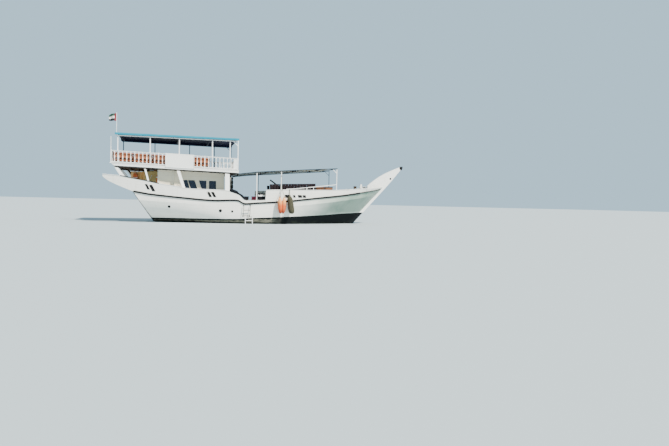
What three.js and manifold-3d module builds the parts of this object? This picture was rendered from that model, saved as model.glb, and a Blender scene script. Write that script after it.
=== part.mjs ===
// Motor tour dhow: a broad wooden-form hull with a raked stem head and quarter wings at the stern,
// a covered aft deck with a cabin, an upper deck under a flat canopy, and a foredeck awning.
// Millimetres. +X towards the bow, +Y to port, +Z up. The origin is on the centreline at the water
// surface, halfway along the waterline.
import * as THREE from 'three';
import { mergeVertices } from 'three/addons/utils/BufferGeometryUtils.js';
import Module from 'manifold-3d';

const wasm = await Module();
wasm.setup();

// Driving dimensions
const seam = 0.4;
const keelHalfWidth = 100;
const keelDepth = 1500;
const hullDepth = 1250;
const postDepth = 30;
const stemDepth = 300;
const stemHalfWidth = 110;
const deckThickness = 40;
const plankThickness = 70;
const sternRake = { foot: -7600, slope: -0.682 };
const stemRake = { foot: 7410, slope: 0.942 };
const upperDeck = {
  aft: -10560, aftUnder: -10260, front: -1900, underAtAft: 3860, slope: -0.0253, thick: 205,
  halfWidthAft: 2050, halfWidthFront: 2600,
};
const rail = { height: 850, bar: 60, inset: 50, pitch: 295, balusterRadius: 39, newel: 60, foot: 60 };
const canopy = { under: 5970, thick: 115, crown: 65, overhang: 130, postSize: 60, postInset: 122 };
const cabin = { aft: -7450, front: -2850, halfWidth: 1750, wall: 50 };
const propellerPlace = { x: -6330, z: -850, radius: 400, hub: 75, shaft: 40, bearing: 0.8 };
const aperture = { aft: -6560, front: -6080, low: -1310, high: -340, halfWidth: 520 };
const rudder = {
  thickness: 50, axisSetback: 45, clearance: 14, headDepth: 75, headTop: 2320, foot: -1440, tiller: 720,
};
const paint = {
  hull: 0xf2efe6, underwater: 0x23262a, trim: 0x262726, white: 0xf6f5f0, cream: 0xcfc9b4,
  deck: 0xb9ab8f, canvas: 0x35b6c9, navy: 0x1c2450, glass: 0x1d2a3c, wood: 0x9a6a3c,
  terracotta: 0xc9714d, dark: 0x2b2228, orange: 0xf08a4b, olive: 0x6b6a52, metal: 0x8d9094,
};

// Sheer lines: each row is x along the deck, then the value there
const deckHeightRows = [
  [-11200, 1711], [-2800, 1300], [40, 1280], [2800, 1450], [5000, 1720], [7700, 2110], [10200, 2550],
];
const halfBreadthRows = [
  [-11200, 1520], [-9500, 1930], [-8000, 2190], [-5000, 2570], [-2000, 2740], [1000, 2790], [4000, 2600],
  [6000, 2230], [7500, 1740], [8600, 1140], [9300, 530], [9690, 112],
];
const bulwarkTopRows = [
  [-11080, 3270], [-10550, 3230], [-9950, 3190], [-9500, 3100], [-8100, 2860], [-7300, 2700], [-5950, 2510],
  [-5600, 2430], [-4200, 2390], [-2800, 2360], [-2450, 2280], [-2100, 2170], [-1850, 2070], [-1680, 1920],
  [-1500, 1740], [-1300, 1690], [40, 1720], [60, 2470], [1500, 2530], [2600, 2540], [4200, 2580], [5600, 2620],
  [6300, 2660], [7000, 2760], [8300, 2870], [9200, 2980], [9900, 3100],
];
const wingFootRows = [[-11050, 3140], [-10930, 3000], [-10570, 2770], [-9950, 2490], [-9500, 2310], [-9059, 2140]];
const rubRailRows = [
  [-9030, 2145], [-8100, 1985], [-7300, 1900], [-5600, 1755], [-3700, 1630], [-1850, 1650], [-1680, 1520],
  [-1500, 1445], [-600, 1510], [900, 1620], [1800, 1705], [2800, 1830], [3900, 1970], [5000, 2100], [6000, 2230],
  [6900, 2370], [7700, 2510], [8400, 2640], [9000, 2740], [9500, 2840], [9900, 2920],
];
const flareRows = [[-11200, 0.1], [-8000, 0.08], [-2000, 0.05], [3000, 0.07], [6000, 0.14], [8600, 0.24], [9800, 0.05]];
const leanRows = [[-11200, 0], [5000, 0], [7700, 0.3], [9000, 0.7], [9740, 0.942]];
const middleStations = [
  -8100, -7300, -6400, -5600, -4700, -3700, -2800, -2450, -2100, -1850, -1680, -1500, -1300, -600, 40, 60,
  900, 1800, 2800, 3900, 5000, 6000, 6900, 7700, 8400, 9000, 9400,
];
// Section shapes: height up the side as a share of the depth, then the share of the half-breadth
// at the transom, amidships and at the bow
const sectionRows = [
  [0, 0.05, 0.04, 0.1], [0.08, 0.05, 0.3, 0.13], [0.18, 0.055, 0.6, 0.19], [0.3, 0.1, 0.8, 0.29],
  [0.42, 0.33, 0.9, 0.41], [0.55, 0.66, 0.955, 0.54], [0.7, 0.86, 0.98, 0.7], [0.85, 0.95, 0.995, 0.86], [1, 1, 1, 1],
];

// Shape helpers
function alongRows(rows, x, column = 1) {
  if (x <= rows[0][0]) return rows[0][column];
  for (let i = 1; i < rows.length; i += 1) {
    if (x <= rows[i][0]) {
      const share = (x - rows[i - 1][0]) / (rows[i][0] - rows[i - 1][0]);
      return rows[i - 1][column] + share * (rows[i][column] - rows[i - 1][column]);
    }
  }
  return rows[rows.length - 1][column];
}

function smoothStep(share) {
  const t = Math.min(1, Math.max(0, share));
  return t * t * (3 - 2 * t);
}

// A smooth curve through the rows of a table, as a table with more rows
function smoothRows(rows, column = 1) {
  const marks = rows.map((row) => new THREE.Vector3(row[0], row[column], 0));
  const curve = new THREE.CatmullRomCurve3(marks, false, 'centripetal');
  return curve.getPoints(rows.length * 12).map((point) => [point.x, point.y]);
}

const planCurve = smoothRows(halfBreadthRows);
const flareCurve = smoothRows(flareRows);
const rubRailCurve = smoothRows(rubRailRows);
const gangwayStep = 50;
const bulwarkTopCurve = [
  ...smoothRows(bulwarkTopRows.filter(([x]) => x < gangwayStep)),
  ...smoothRows(bulwarkTopRows.filter(([x]) => x > gangwayStep)),
];
const sectionHeights = [
  0, 0.04, 0.08, 0.13, 0.18, 0.24, 0.3, 0.36, 0.42, 0.485, 0.55, 0.625, 0.7, 0.775, 0.85, 0.925, 1,
];
const sections = sectionHeights.map((height) => [
  height, ...[1, 2, 3].map((column) => alongRows(smoothRows(sectionRows, column), height)),
]);

function closedGeometry(positions, faces) {
  const geometry = new THREE.BufferGeometry();
  geometry.setAttribute('position', new THREE.Float32BufferAttribute(positions.flat(), 3));
  geometry.setIndex(faces.flat());
  return geometry;
}

// Skin over rings that all have the same number of points, closed at both ends. Rings run
// anticlockwise seen from the last ring back towards the first.
function loft(rings) {
  const count = rings[0].length;
  const faces = [];
  for (let k = 0; k + 1 < rings.length; k += 1) {
    for (let i = 0; i < count; i += 1) {
      const a = k * count + i;
      const b = k * count + ((i + 1) % count);
      faces.push([a, b, b + count], [a, b + count, a + count]);
    }
  }
  const flat = rings[0].map(([, y, z]) => new THREE.Vector2(y, z));
  const last = rings[rings.length - 1].map(([, y, z]) => new THREE.Vector2(y, z));
  const offset = (rings.length - 1) * count;
  for (const [a, b, c] of THREE.ShapeUtils.triangulateShape(flat, [])) faces.push([c, b, a]);
  for (const [a, b, c] of THREE.ShapeUtils.triangulateShape(last, [])) faces.push([offset + a, offset + b, offset + c]);
  return closedGeometry(rings.flat(), faces);
}

function toSolid(geometry) {
  const bare = geometry.clone();
  bare.deleteAttribute('normal');
  bare.deleteAttribute('uv');
  const merged = mergeVertices(bare, 1e-3);
  const mesh = new wasm.Mesh({
    numProp: 3,
    vertProperties: new Float32Array(merged.attributes.position.array),
    triVerts: new Uint32Array(merged.index.array),
  });
  return new wasm.Manifold(mesh);
}

function toGeometry(solid) {
  const mesh = solid.getMesh();
  const geometry = new THREE.BufferGeometry();
  geometry.setAttribute('position', new THREE.BufferAttribute(new Float32Array(mesh.vertProperties), 3));
  geometry.setIndex(new THREE.BufferAttribute(new Uint32Array(mesh.triVerts), 1));
  return geometry;
}

function join(solids) {
  return solids.reduce((whole, solid) => whole.add(solid));
}

function block(x0, x1, y0, y1, z0, z1) {
  const geometry = new THREE.BoxGeometry(x1 - x0, y1 - y0, z1 - z0);
  geometry.translate((x0 + x1) / 2, (y0 + y1) / 2, (z0 + z1) / 2);
  return toSolid(geometry);
}

// An outline in the side view (x, z), as thick as the stretch from y0 to y1
function sidePlate(outline, y0, y1) {
  const shape = new THREE.Shape(outline.map(([x, z]) => new THREE.Vector2(x, z)));
  const geometry = new THREE.ExtrudeGeometry(shape, { depth: y1 - y0, bevelEnabled: false, curveSegments: 6 });
  geometry.rotateX(Math.PI / 2);
  geometry.translate(0, y1, 0);
  return toSolid(geometry);
}

// An outline in the end view (y, z), as thick as the stretch from x0 to x1
function endPlate(outline, x0, x1) {
  const shape = new THREE.Shape(outline.map(([y, z]) => new THREE.Vector2(y, z)));
  const geometry = new THREE.ExtrudeGeometry(shape, { depth: x1 - x0, bevelEnabled: false, curveSegments: 6 });
  geometry.applyMatrix4(new THREE.Matrix4().makeBasis(
    new THREE.Vector3(0, 1, 0), new THREE.Vector3(0, 0, 1), new THREE.Vector3(1, 0, 0)));
  geometry.translate(x0, 0, 0);
  return toSolid(geometry);
}

// A straight bar between two points: round, or square with one face kept upright when sides is 4
function rod(from, to, width, sides = 4) {
  const start = new THREE.Vector3(...from);
  const end = new THREE.Vector3(...to);
  const along = end.clone().sub(start).normalize();
  const upright = Math.abs(along.z) > 0.9 ? new THREE.Vector3(1, 0, 0) : new THREE.Vector3(0, 0, 1);
  const across = upright.addScaledVector(along, -upright.dot(along)).normalize();
  const radius = sides === 4 ? width / Math.SQRT2 : width / 2;
  const geometry = new THREE.CylinderGeometry(radius, radius, start.distanceTo(end), sides);
  if (sides === 4) geometry.rotateY(Math.PI / 4);
  geometry.applyMatrix4(new THREE.Matrix4().makeBasis(across, along, across.clone().cross(along)));
  geometry.translate((start.x + end.x) / 2, (start.y + end.y) / 2, (start.z + end.z) / 2);
  return toSolid(geometry);
}

// A round form about a vertical line; the profile rows are radius, height
function turned(profile, x, y, sides = 12) {
  const geometry = new THREE.LatheGeometry(profile.map(([r, z]) => new THREE.Vector2(r, z)), sides);
  geometry.rotateX(Math.PI / 2);
  geometry.translate(x, y, 0);
  return toSolid(geometry);
}

function mirrored(solid) {
  return solid.mirror([0, 1, 0]);
}

// Hull lines
const sternX = (z) => sternRake.foot + sternRake.slope * z;
const stemX = (z) => stemRake.foot + stemRake.slope * z;
const deckTop = (x) => alongRows(deckHeightRows, x);
const hullTop = (x) => deckTop(x) - deckThickness - seam;
const halfBreadth = (x) => alongRows(planCurve, x);
const bulwarkTop = (x) => alongRows(bulwarkTopCurve, x);

// Where the hull's raked ends meet the deck edge
function endStation(endX, guess) {
  let x = guess;
  for (let k = 0; k < 30; k += 1) x = endX(hullTop(x));
  return x;
}
const sternStation = endStation(sternX, -8600);
const stemStation = endStation(stemX, 9700);
const widestGap = 620;
const hullStations = [sternStation, ...middleStations, stemStation].flatMap((x, k, all) => {
  const next = all[k + 1] ?? x;
  const parts = Math.max(1, Math.ceil((next - x) / widestGap));
  return Array.from({ length: parts }, (_, i) => x + (next - x) * i / parts);
});

// Outer face of the topsides above the deck edge, at a station and a height
function topside(station, z) {
  const foot = hullTop(station);
  const x = station + alongRows(leanRows, station) * (z - foot);
  const y = halfBreadth(station) + alongRows(flareCurve, station) * (z - foot);
  return { x, y };
}

function keelLine(share) {
  return -hullDepth + 500 * smoothStep((share - 0.84) / 0.16) ** 1.2;
}

function hullRing(station) {
  const top = hullTop(station);
  const share = (station - sternX(top)) / (stemX(top) - sternX(top));
  const low = keelLine(share);
  const aftWeight = 1 - smoothStep(share / 0.42);
  const bowWeight = smoothStep((share - 0.5) / 0.48);
  const side = sections.map(([height, aft, middle, bow]) => {
    const z = low + height * (top - low);
    const part = aft * aftWeight + bow * bowWeight + middle * (1 - aftWeight - bowWeight);
    const x = sternX(z) + share * (stemX(z) - sternX(z));
    return [x, Math.max(keelHalfWidth, halfBreadth(station) * part), z];
  });
  const port = side;
  const starboard = side.map(([x, y, z]) => [x, -y, z]).reverse();
  return [...starboard, ...port];
}

// Half-breadth of the hull's side at a place below the deck edge
function hullSide(x, z) {
  const share = (x - sternX(z)) / (stemX(z) - sternX(z));
  const stations = hullStations.map((station) => {
    const top = hullTop(station);
    return { ring: hullRing(station), share: (station - sternX(top)) / (stemX(top) - sternX(top)) };
  });
  const next = stations.findIndex((entry) => entry.share > share);
  const side = ({ ring }) => alongRows(ring.slice(sections.length).map(([, y, height]) => [height, y]), z);
  const [a, b] = [stations[next - 1], stations[next]];
  const mix = (share - a.share) / (b.share - a.share);
  return side(a) * (1 - mix) + side(b) * mix;
}

// The space the propeller turns in, through the keel's run
function makeAperture() {
  const { aft, front, halfWidth, low, high } = aperture;
  return block(aft, front, -halfWidth, halfWidth, low, high);
}

function makeHull() {
  const body = toSolid(loft(hullStations.map(hullRing)));
  const engineRoom = block(-4400, -1150, -900, 900, -450, 2000).add(block(-5100, -4350, -520, 520, -450, 2000));
  const { z, shaft, bearing } = propellerPlace;
  const bore = rod([aperture.front - 1, 0, z], [aperture.front + 500, 0, z], 2 * (shaft + bearing), 24);
  return body.subtract(engineRoom).subtract(makeAperture()).subtract(bore);
}

// Keel timber with the sternpost and the lower stem, drawn round the hull's bottom edge
function makeKeel() {
  const bottomEdge = hullStations.filter((x) => x > 3000).reverse().map((station) => {
    const [x, , z] = hullRing(station)[sections.length];
    return [x, z - seam];
  });
  const heel = [sternX(-hullDepth) - seam, -hullDepth - seam];
  const postTop = 1560;
  const outline = [
    [sternX(postTop) - seam, postTop], [sternX(postTop) - postDepth, postTop],
    [sternX(-keelDepth) - postDepth, -keelDepth], [5750, -keelDepth], [6350, -1400], [6850, -1090],
    [stemX(-750) + stemDepth, -750 - seam], ...bottomEdge, heel,
  ];
  const timber = sidePlate(outline, -keelHalfWidth, keelHalfWidth).subtract(makeAperture());
  return timber.add(makeGudgeons());
}

// The rudder hangs on a raked line just aft of the sternpost
const rudderAngle = Math.atan(-sternRake.slope);
const rudderAxisX = (z) => sternX(z) - postDepth - (rudder.axisSetback + rudder.clearance) / Math.cos(rudderAngle);
const rudderTurn = new THREE.Matrix4().makeRotationY(-rudderAngle);
const gudgeonHeights = [-1500, -420, 700, 1500];
const gudgeon = { height: 70, reach: 40, halfWidth: 40 };

// A block set square to the rudder's axis, placed by its distances along and across that axis
function axisBlock(x0, x1, halfWidth, z0, z1) {
  const geometry = toGeometry(block(x0, x1, -halfWidth, halfWidth, z0, z1));
  geometry.applyMatrix4(rudderTurn);
  geometry.translate(rudderAxisX(0), 0, 0);
  return toSolid(geometry);
}

function makeGudgeons() {
  const { height, reach, halfWidth } = gudgeon;
  const front = rudder.axisSetback + rudder.clearance + postDepth * Math.cos(rudderAngle) - 3;
  return join(gudgeonHeights.map((z) => axisBlock(-reach, front, halfWidth, z, z + height)));
}

function makeRudder() {
  const lead = rudder.axisSetback / Math.cos(rudderAngle);
  const edge = (z) => [rudderAxisX(z) + lead, z];
  const { headTop, foot, thickness } = rudder;
  const slim = (z) => [rudderAxisX(z) - rudder.headDepth, z];
  const outline = [
    edge(foot), edge(headTop), slim(headTop), slim(-120), [-7960, -260], [-8130, -420], [-8090, -760],
    [-7700, -1390], [-7600, foot],
  ];
  let blade = sidePlate(outline, -thickness / 2, thickness / 2);
  for (const z of gudgeonHeights) {
    blade = blade.subtract(axisBlock(-60, 200, 80, z - 8, z + gudgeon.height + seam));
  }
  const head = rudderAxisX(headTop);
  const tiller = block(head - 60, head + rudder.tiller, -25, 25, headTop - 60, headTop - 10);
  return blade.add(tiller);
}

function makePropeller() {
  const { x, z, radius, hub, shaft } = propellerPlace;
  const parts = [
    rod([x - 110, 0, z], [x + 100, 0, z], hub * 2, 16),
    rod([x, 0, z], [aperture.front + 450, 0, z], shaft * 2, 24),
  ];
  for (let k = 0; k < 4; k += 1) {
    const shape = new THREE.Shape();
    shape.moveTo(-40, 30);
    shape.bezierCurveTo(-190, radius * 0.55, -150, radius, 0, radius);
    shape.bezierCurveTo(150, radius, 190, radius * 0.55, 40, 30);
    const blade = new THREE.ExtrudeGeometry(shape, { depth: 18, bevelEnabled: false, curveSegments: 5 });
    blade.translate(0, 0, -9);
    blade.rotateY(Math.PI / 2 - 0.6);
    blade.rotateX(Math.PI / 2 + k * Math.PI / 2);
    blade.translate(x, 0, z);
    parts.push(toSolid(blade));
  }
  return join(parts);
}

function makeStempost() {
  const edge = (z) => [stemX(z) + seam, z];
  const outline = [
    edge(-750 + seam), [stemX(-750) + stemDepth, -750 + seam], [stemX(2950) + stemDepth, 2950], [10975, 3480],
    [11930, 4640], [12060, 4740], [11960, 4830], [11740, 4760], [11050, 4475], [10250, 4090], [9630, 3690],
    [9180, 3330], [8960, 3130], [8900, hullTop(8900) + seam], [9000, hullTop(9000) + seam],
    [9400, hullTop(9400) + seam], edge(hullTop(9739) + seam),
  ];
  return sidePlate(outline, -stemHalfWidth, stemHalfWidth);
}

const bulwarkStations = [...wingFootRows.map(([x]) => x), ...hullStations];

function bulwarkFoot(station) {
  const wing = station <= wingFootRows[wingFootRows.length - 1][0];
  return wing ? alongRows(wingFootRows, station) : hullTop(station) + seam;
}

function bulwarkRing(station) {
  const foot = bulwarkFoot(station);
  const top = bulwarkTop(station);
  const inner = (y) => Math.max(y - plankThickness, stemHalfWidth + seam);
  const outer = (y) => Math.max(y, stemHalfWidth + 15);
  const low = topside(station, foot);
  const high = topside(station, top);
  return [
    [low.x, -outer(low.y), foot], [low.x, -inner(low.y), foot],
    [high.x, -inner(high.y), top], [high.x, -outer(high.y), top],
  ];
}

// Freeing slots: x of the top corner, z of the middle, width, height and slant of each
const slotRows = [
  [-8120, 2480, 120, 330, 160], [-7800, 2400, 170, 400, 200], [-3950, 2060, 150, 330, 170],
  [-3650, 2060, 150, 330, 170], [1700, 2070, 380, 180, 60], [2180, 2080, 130, 140, 40],
  [2620, 2090, 260, 160, 50], [2960, 2090, 200, 150, 50],
];

const bulwarkWall = toSolid(loft(bulwarkStations.map(bulwarkRing)));

// The bulwark's top edge as built: x, height, half-breadth
const crestRows = bulwarkStations.map((station) => {
  const top = bulwarkTop(station);
  const { x, y } = topside(station, top);
  return [x, top, y];
});
const crestHeight = (x, halfWidth = 0) => Math.max(
  alongRows(crestRows, x - halfWidth), alongRows(crestRows, x + halfWidth));
const crestMiddle = (x) => alongRows(crestRows, x, 2) - plankThickness / 2;

function makeBulwark() {
  const slots = slotRows.map(([x, z, width, height, slant]) => sidePlate([
    [x - width / 2 - slant / 2, z + height / 2], [x - width / 2 + slant / 2, z - height / 2],
    [x + width / 2 + slant / 2, z - height / 2], [x + width / 2 - slant / 2, z + height / 2],
  ], -3200, -1500));
  return bulwarkWall.subtract(join(slots));
}

function makeRubRail() {
  const [height, depth] = [70, 45];
  const stations = [rubRailRows[0][0], ...hullStations];
  const rings = stations.map((station) => {
    const z = alongRows(rubRailCurve, station);
    const low = topside(station, z - height / 2);
    const high = topside(station, z + height / 2);
    const outer = (y) => Math.max(y, stemHalfWidth + 15);
    return [
      [low.x, -outer(low.y) - depth, z - height / 2], [low.x, -outer(low.y) + 25, z - height / 2],
      [high.x, -outer(high.y) + 25, z + height / 2], [high.x, -outer(high.y) - depth, z + height / 2],
    ];
  });
  return toSolid(loft(rings))
    .subtract(bulwarkWall.translate([0, -seam, 0]))
    .subtract(bulwarkWall.translate([seam, -seam, seam]));
}

function makeTransomBoard() {
  const rings = [hullTop(sternStation) + seam, 1850, 2150].map((z) => {
    const x = sternX(z);
    const half = Math.min(
      halfBreadth(x) + alongRows(flareCurve, x) * (z - hullTop(x)),
      halfBreadth(x + 80) + alongRows(flareCurve, x + 80) * (z - hullTop(x + 80))) - plankThickness - 8;
    return [[x, -half, z], [x, half, z], [x + plankThickness, half, z], [x + plankThickness, -half, z]];
  });
  const faces = [];
  for (let k = 0; k < 2; k += 1) {
    for (let i = 0; i < 4; i += 1) {
      const [a, b] = [k * 4 + i, k * 4 + ((i + 1) % 4)];
      faces.push([b, a, a + 4], [b, a + 4, b + 4]);
    }
  }
  faces.push([0, 1, 2], [0, 2, 3], [8, 10, 9], [8, 11, 10]);
  return toSolid(closedGeometry(rings.flat(), faces));
}

const engineHatch = { aft: -2350, front: -1450, halfWidth: 450 };

const foreDeckEnd = 8800;
const hullPlan = hullStations.map((x) => [x, halfBreadth(x)]);

function makeMainDeck() {
  const stations = [...hullStations.filter((x) => x < foreDeckEnd), foreDeckEnd];
  const rings = stations.map((station) => {
    const half = alongRows(hullPlan, station) - plankThickness - 3;
    const end = station === sternStation ? plankThickness + 2 : 0;
    const skew = end > 0 ? 30 : 0;
    const top = deckTop(station + end);
    const low = hullTop(station + end + skew) + seam;
    return [
      [station + end, -half, top], [station + end + skew, -half, low],
      [station + end + skew, half, low], [station + end, half, top],
    ];
  });
  const well = block(engineHatch.aft, engineHatch.front, -engineHatch.halfWidth, engineHatch.halfWidth, 1000, 2000);
  return toSolid(loft(rings)).subtract(well);
}

function makeEngineHatch() {
  const [lap, height] = [50, 60];
  const { aft, front, halfWidth } = engineHatch;
  const foot = (x) => deckTop(x) + seam;
  return sidePlate([
    [aft - lap, foot(aft - lap)], [front + lap, foot(front + lap)],
    [front + lap, foot(front + lap) + height], [aft - lap, foot(aft - lap) + height],
  ], -halfWidth - lap, halfWidth + lap);
}

// Cabin, with its foot on the sloping deck and its head under the upper deck
const underDeck = (x) => upperDeck.underAtAft + upperDeck.slope * (x - upperDeck.aftUnder);
const cabinFoot = (x) => deckTop(x) + seam;
const cabinHead = (x) => underDeck(x) - seam;
// Side windows: x of the top corners, then of the foot corners
const windowRows = [[-5900, -4940, -5740, -4720], [-4650, -4110, -4440, -4100], [-3930, -3420, -3930, -3420]];
const windowBand = { low: 2430, high: 3060 };

function makeCabinSide() {
  const { aft, front, halfWidth, wall } = cabin;
  const outline = [[aft, cabinFoot(aft)], [front, cabinFoot(front)], [front, cabinHead(front)], [aft, cabinHead(aft)]];
  const windows = windowRows.map(([topAft, topFront, footAft, footFront]) => sidePlate([
    [topAft, windowBand.high], [footAft, windowBand.low], [footFront, windowBand.low], [topFront, windowBand.high],
  ], -halfWidth - 10, -halfWidth + wall + 10));
  return sidePlate(outline, -halfWidth, -halfWidth + wall).subtract(join(windows));
}

function makeCabinGlass() {
  const inner = -cabin.halfWidth + cabin.wall + seam;
  return block(-6420, -3350, inner, inner + 8, windowBand.low - 50, windowBand.high + 50);
}

const door = { hinge: 1250, lock: 550, head: 1850 };
const doorHinge = { x: cabin.front + 7.5, y: door.hinge, radius: 7, heights: [250, 950, 1600], leaf: 40 };

// One leaf of each hinge: a barrel on the door's turning line and a strap from it
function hingeLeaves(foot, strap) {
  const { x, y, radius, heights, leaf } = doorHinge;
  return join(heights.flatMap((height) => {
    const low = foot + height;
    return [
      rod([x, y, low], [x, y, low + leaf], 2 * radius, 12),
      block(strap.x0, cabin.front + 5, strap.y0, strap.y1, low, low + leaf),
    ];
  }));
}

function makeCabinFront() {
  const { front, halfWidth, wall } = cabin;
  const half = halfWidth - wall - seam;
  const foot = cabinFoot(front - wall);
  const panel = endPlate([[-half, foot], [half, foot], [half, cabinHead(front)], [-half, cabinHead(front)]],
    front - wall, front);
  const doorway = block(front - 200, front + 200, door.lock, door.hinge, foot - 50, foot + door.head);
  const window = block(front - 200, front + 200, -1500, 350, 2330, 3060);
  const fixedLeaves = hingeLeaves(foot + doorHinge.leaf + seam, { x0: front - 1, y0: door.hinge + 3, y1: door.hinge + 45 });
  return panel.subtract(doorway).subtract(window).add(fixedLeaves);
}

function makeFrontGlass() {
  const face = cabin.front - cabin.wall - seam;
  return block(face - 8, face, -1550, 400, 2290, 3100);
}

function makeCabinAft() {
  const { aft, halfWidth, wall } = cabin;
  const half = halfWidth - wall - seam;
  const foot = cabinFoot(aft + wall);
  const head = cabinHead(aft + wall);
  const panel = endPlate([[-half, cabinFoot(aft)], [half, cabinFoot(aft)], [half, head], [-half, head]], aft, aft + wall);
  return panel.subtract(block(aft - 100, aft + 200, -400, 400, foot - 50, foot + 1850));
}

function makeCabinDoor() {
  const { front, wall } = cabin;
  const sill = cabinFoot(front - wall);
  const [foot, face] = [sill + 8, front - 4];
  const leaf = block(front - 42, face, door.lock + 8, door.hinge - 6, foot, foot + door.head - 16);
  const light = block(front - 100, front + 100, door.lock + 150, door.hinge - 150, foot + 1050, foot + 1650);
  const handle = block(face - 1, front + 40, door.lock + 45, door.lock + 70, foot + 900, foot + 1050);
  const movingLeaves = hingeLeaves(sill, { x0: face - 1, y0: door.hinge - 45, y1: door.hinge - 4 });
  return leaf.subtract(light).add(handle).add(movingLeaves);
}

const helm = { x: -3560, y: -550, radius: 330, height: 700 };

function makeHelmConsole() {
  const foot = cabinFoot(helm.x);
  const body = sidePlate([
    [-3400, cabinFoot(-3400)], [-3000, cabinFoot(-3000)], [-3000, 2250], [-3150, 2300], [-3400, 2200],
  ], helm.y - 350, helm.y + 350);
  const post = rod([-3424.6, helm.y, foot + helm.height], [-3300, helm.y, foot + helm.height], 60, 12);
  return body.add(post);
}

function makeHelmWheel() {
  const { radius } = helm;
  const centre = new THREE.Vector3(-3470, helm.y, cabinFoot(helm.x) + helm.height);
  const ring = new THREE.TorusGeometry(radius, 18, 6, 28);
  ring.rotateY(Math.PI / 2);
  ring.translate(centre.x, centre.y, centre.z);
  const parts = [toSolid(ring), rod([centre.x - 30, centre.y, centre.z], [centre.x + 45, centre.y, centre.z], 110, 12)];
  for (let k = 0; k < 6; k += 1) {
    const angle = k * Math.PI / 3;
    parts.push(rod([centre.x, centre.y, centre.z], [
      centre.x, centre.y + Math.cos(angle) * (radius + 110), centre.z + Math.sin(angle) * (radius + 110)], 28, 6));
  }
  return join(parts);
}

// Upper deck
const deckEdge = (x) => upperDeck.halfWidthAft
  + (x - upperDeck.aft) * (upperDeck.halfWidthFront - upperDeck.halfWidthAft) / (upperDeck.front - upperDeck.aft);
const overDeck = (x) => underDeck(x) + upperDeck.thick;
const stairwell = { aft: -8560, front: -7600, low: 700, high: 1400 };

function makeUpperDeck() {
  const ring = (xTop, xUnder) => [
    [xTop, -deckEdge(xTop), overDeck(xTop)], [xUnder, -deckEdge(xTop), underDeck(xUnder)],
    [xUnder, deckEdge(xTop), underDeck(xUnder)], [xTop, deckEdge(xTop), overDeck(xTop)],
  ];
  const slab = toSolid(loft([ring(upperDeck.aft, upperDeck.aftUnder), ring(upperDeck.front, upperDeck.front)]));
  return slab.subtract(block(stairwell.aft, stairwell.front, stairwell.low, stairwell.high, 3000, 5000));
}

// Pillars from the bulwark to the upper deck: x of the head, x of the foot, width
const pillarRows = [[-10215, -9810, 90], [-8290, -8050, 110], [-6080, -5700, 210], [-2700, -2700, 310]];
const pillarRowsPort = [[-9820, -9300, 90], [-8290, -8050, 110], [-6080, -5700, 210], [-2030, -2030, 250]];

function makePillars(rows) {
  const headerDrop = 90;
  const edge = (x) => deckEdge(x) - 60;
  const header = [upperDeck.aftUnder, upperDeck.front - 20];
  const ring = (x) => [
    [x, -edge(x), underDeck(x) - seam], [x, -edge(x), underDeck(x) - headerDrop],
    [x, -edge(x) + 70, underDeck(x) - headerDrop], [x, -edge(x) + 70, underDeck(x) - seam],
  ];
  const parts = [toSolid(loft(header.map(ring)))];
  for (const [headX, footX, width] of rows) {
    const footZ = crestHeight(footX, width / 2) + seam;
    const headZ = underDeck(headX) - headerDrop / 2;
    const footY = -crestMiddle(footX);
    const headY = -edge(headX) + 35;
    const half = 32;
    const corners = (x, y, z) => [
      [x - width / 2, y - half, z], [x + width / 2, y - half, z], [x + width / 2, y + half, z], [x - width / 2, y + half, z],
    ];
    const faces = [];
    for (let i = 0; i < 4; i += 1) {
      const j = (i + 1) % 4;
      faces.push([i, j, j + 4], [i, j + 4, i + 4]);
    }
    faces.push([2, 1, 0], [3, 2, 0], [4, 5, 6], [4, 6, 7]);
    parts.push(toSolid(closedGeometry([...corners(footX, footY, footZ), ...corners(headX, headY, headZ)], faces)));
  }
  return join(parts);
}

// A run of rail between two deck points, with balusters between a foot bar and a hand bar
function railRun(from, to) {
  const [x0, y0] = from;
  const [x1, y1] = to;
  const length = Math.hypot(x1 - x0, y1 - y0);
  const spot = (share, height) => {
    const x = x0 + share * (x1 - x0);
    return [x, y0 + share * (y1 - y0), overDeck(x) + height];
  };
  const handHeight = rail.height - rail.bar / 2;
  const parts = [
    rod(spot(0, handHeight), spot(1, handHeight), rail.bar),
    rod(spot(0, rail.foot), spot(1, rail.foot), rail.newel),
  ];
  const count = Math.round(length / rail.pitch);
  for (let k = 0; k <= count; k += 1) {
    const end = rail.newel / 2 / length;
    const share = Math.min(1 - end, Math.max(end, k / count));
    const square = k === 0 || k === count || k % 8 === 0;
    const top = spot(share, handHeight);
    const foot = spot(share, square ? 1 : rail.foot);
    parts.push(rod(foot, top, square ? rail.newel : rail.balusterRadius * 2, square ? 4 : 6));
  }
  return join(parts);
}

const signBoard = { aft: -6960, front: -5010, low: 3880, high: 4860 };

function makeSideRail() {
  const y = (x) => -deckEdge(x) + rail.inset;
  const [aft, front] = [upperDeck.aft + 40, upperDeck.front - 40];
  return railRun([aft, y(aft)], [front, y(front)]);
}

// White staff at the starboard quarter, clamped to the rail
function makeSternStaff() {
  const x = upperDeck.aft + 65;
  const y = -deckEdge(x) + rail.inset;
  return rod([x, y, overDeck(x) + 200], [x, y, 5860], 36, 8);
}

function makeEndRail(x, inset) {
  const y = deckEdge(x) - inset;
  return railRun([x, -y], [x, y]);
}

function makeSignBoard() {
  const { aft, front, low, high } = signBoard;
  const ring = (x) => {
    const y = -deckEdge(x) - seam;
    return [[x, y - 24, high + upperDeck.slope * (x - aft)], [x, y - 24, low + upperDeck.slope * (x - aft)],
      [x, y, low + upperDeck.slope * (x - aft)], [x, y, high + upperDeck.slope * (x - aft)]];
  };
  return toSolid(loft([ring(aft), ring(front)]));
}

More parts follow.
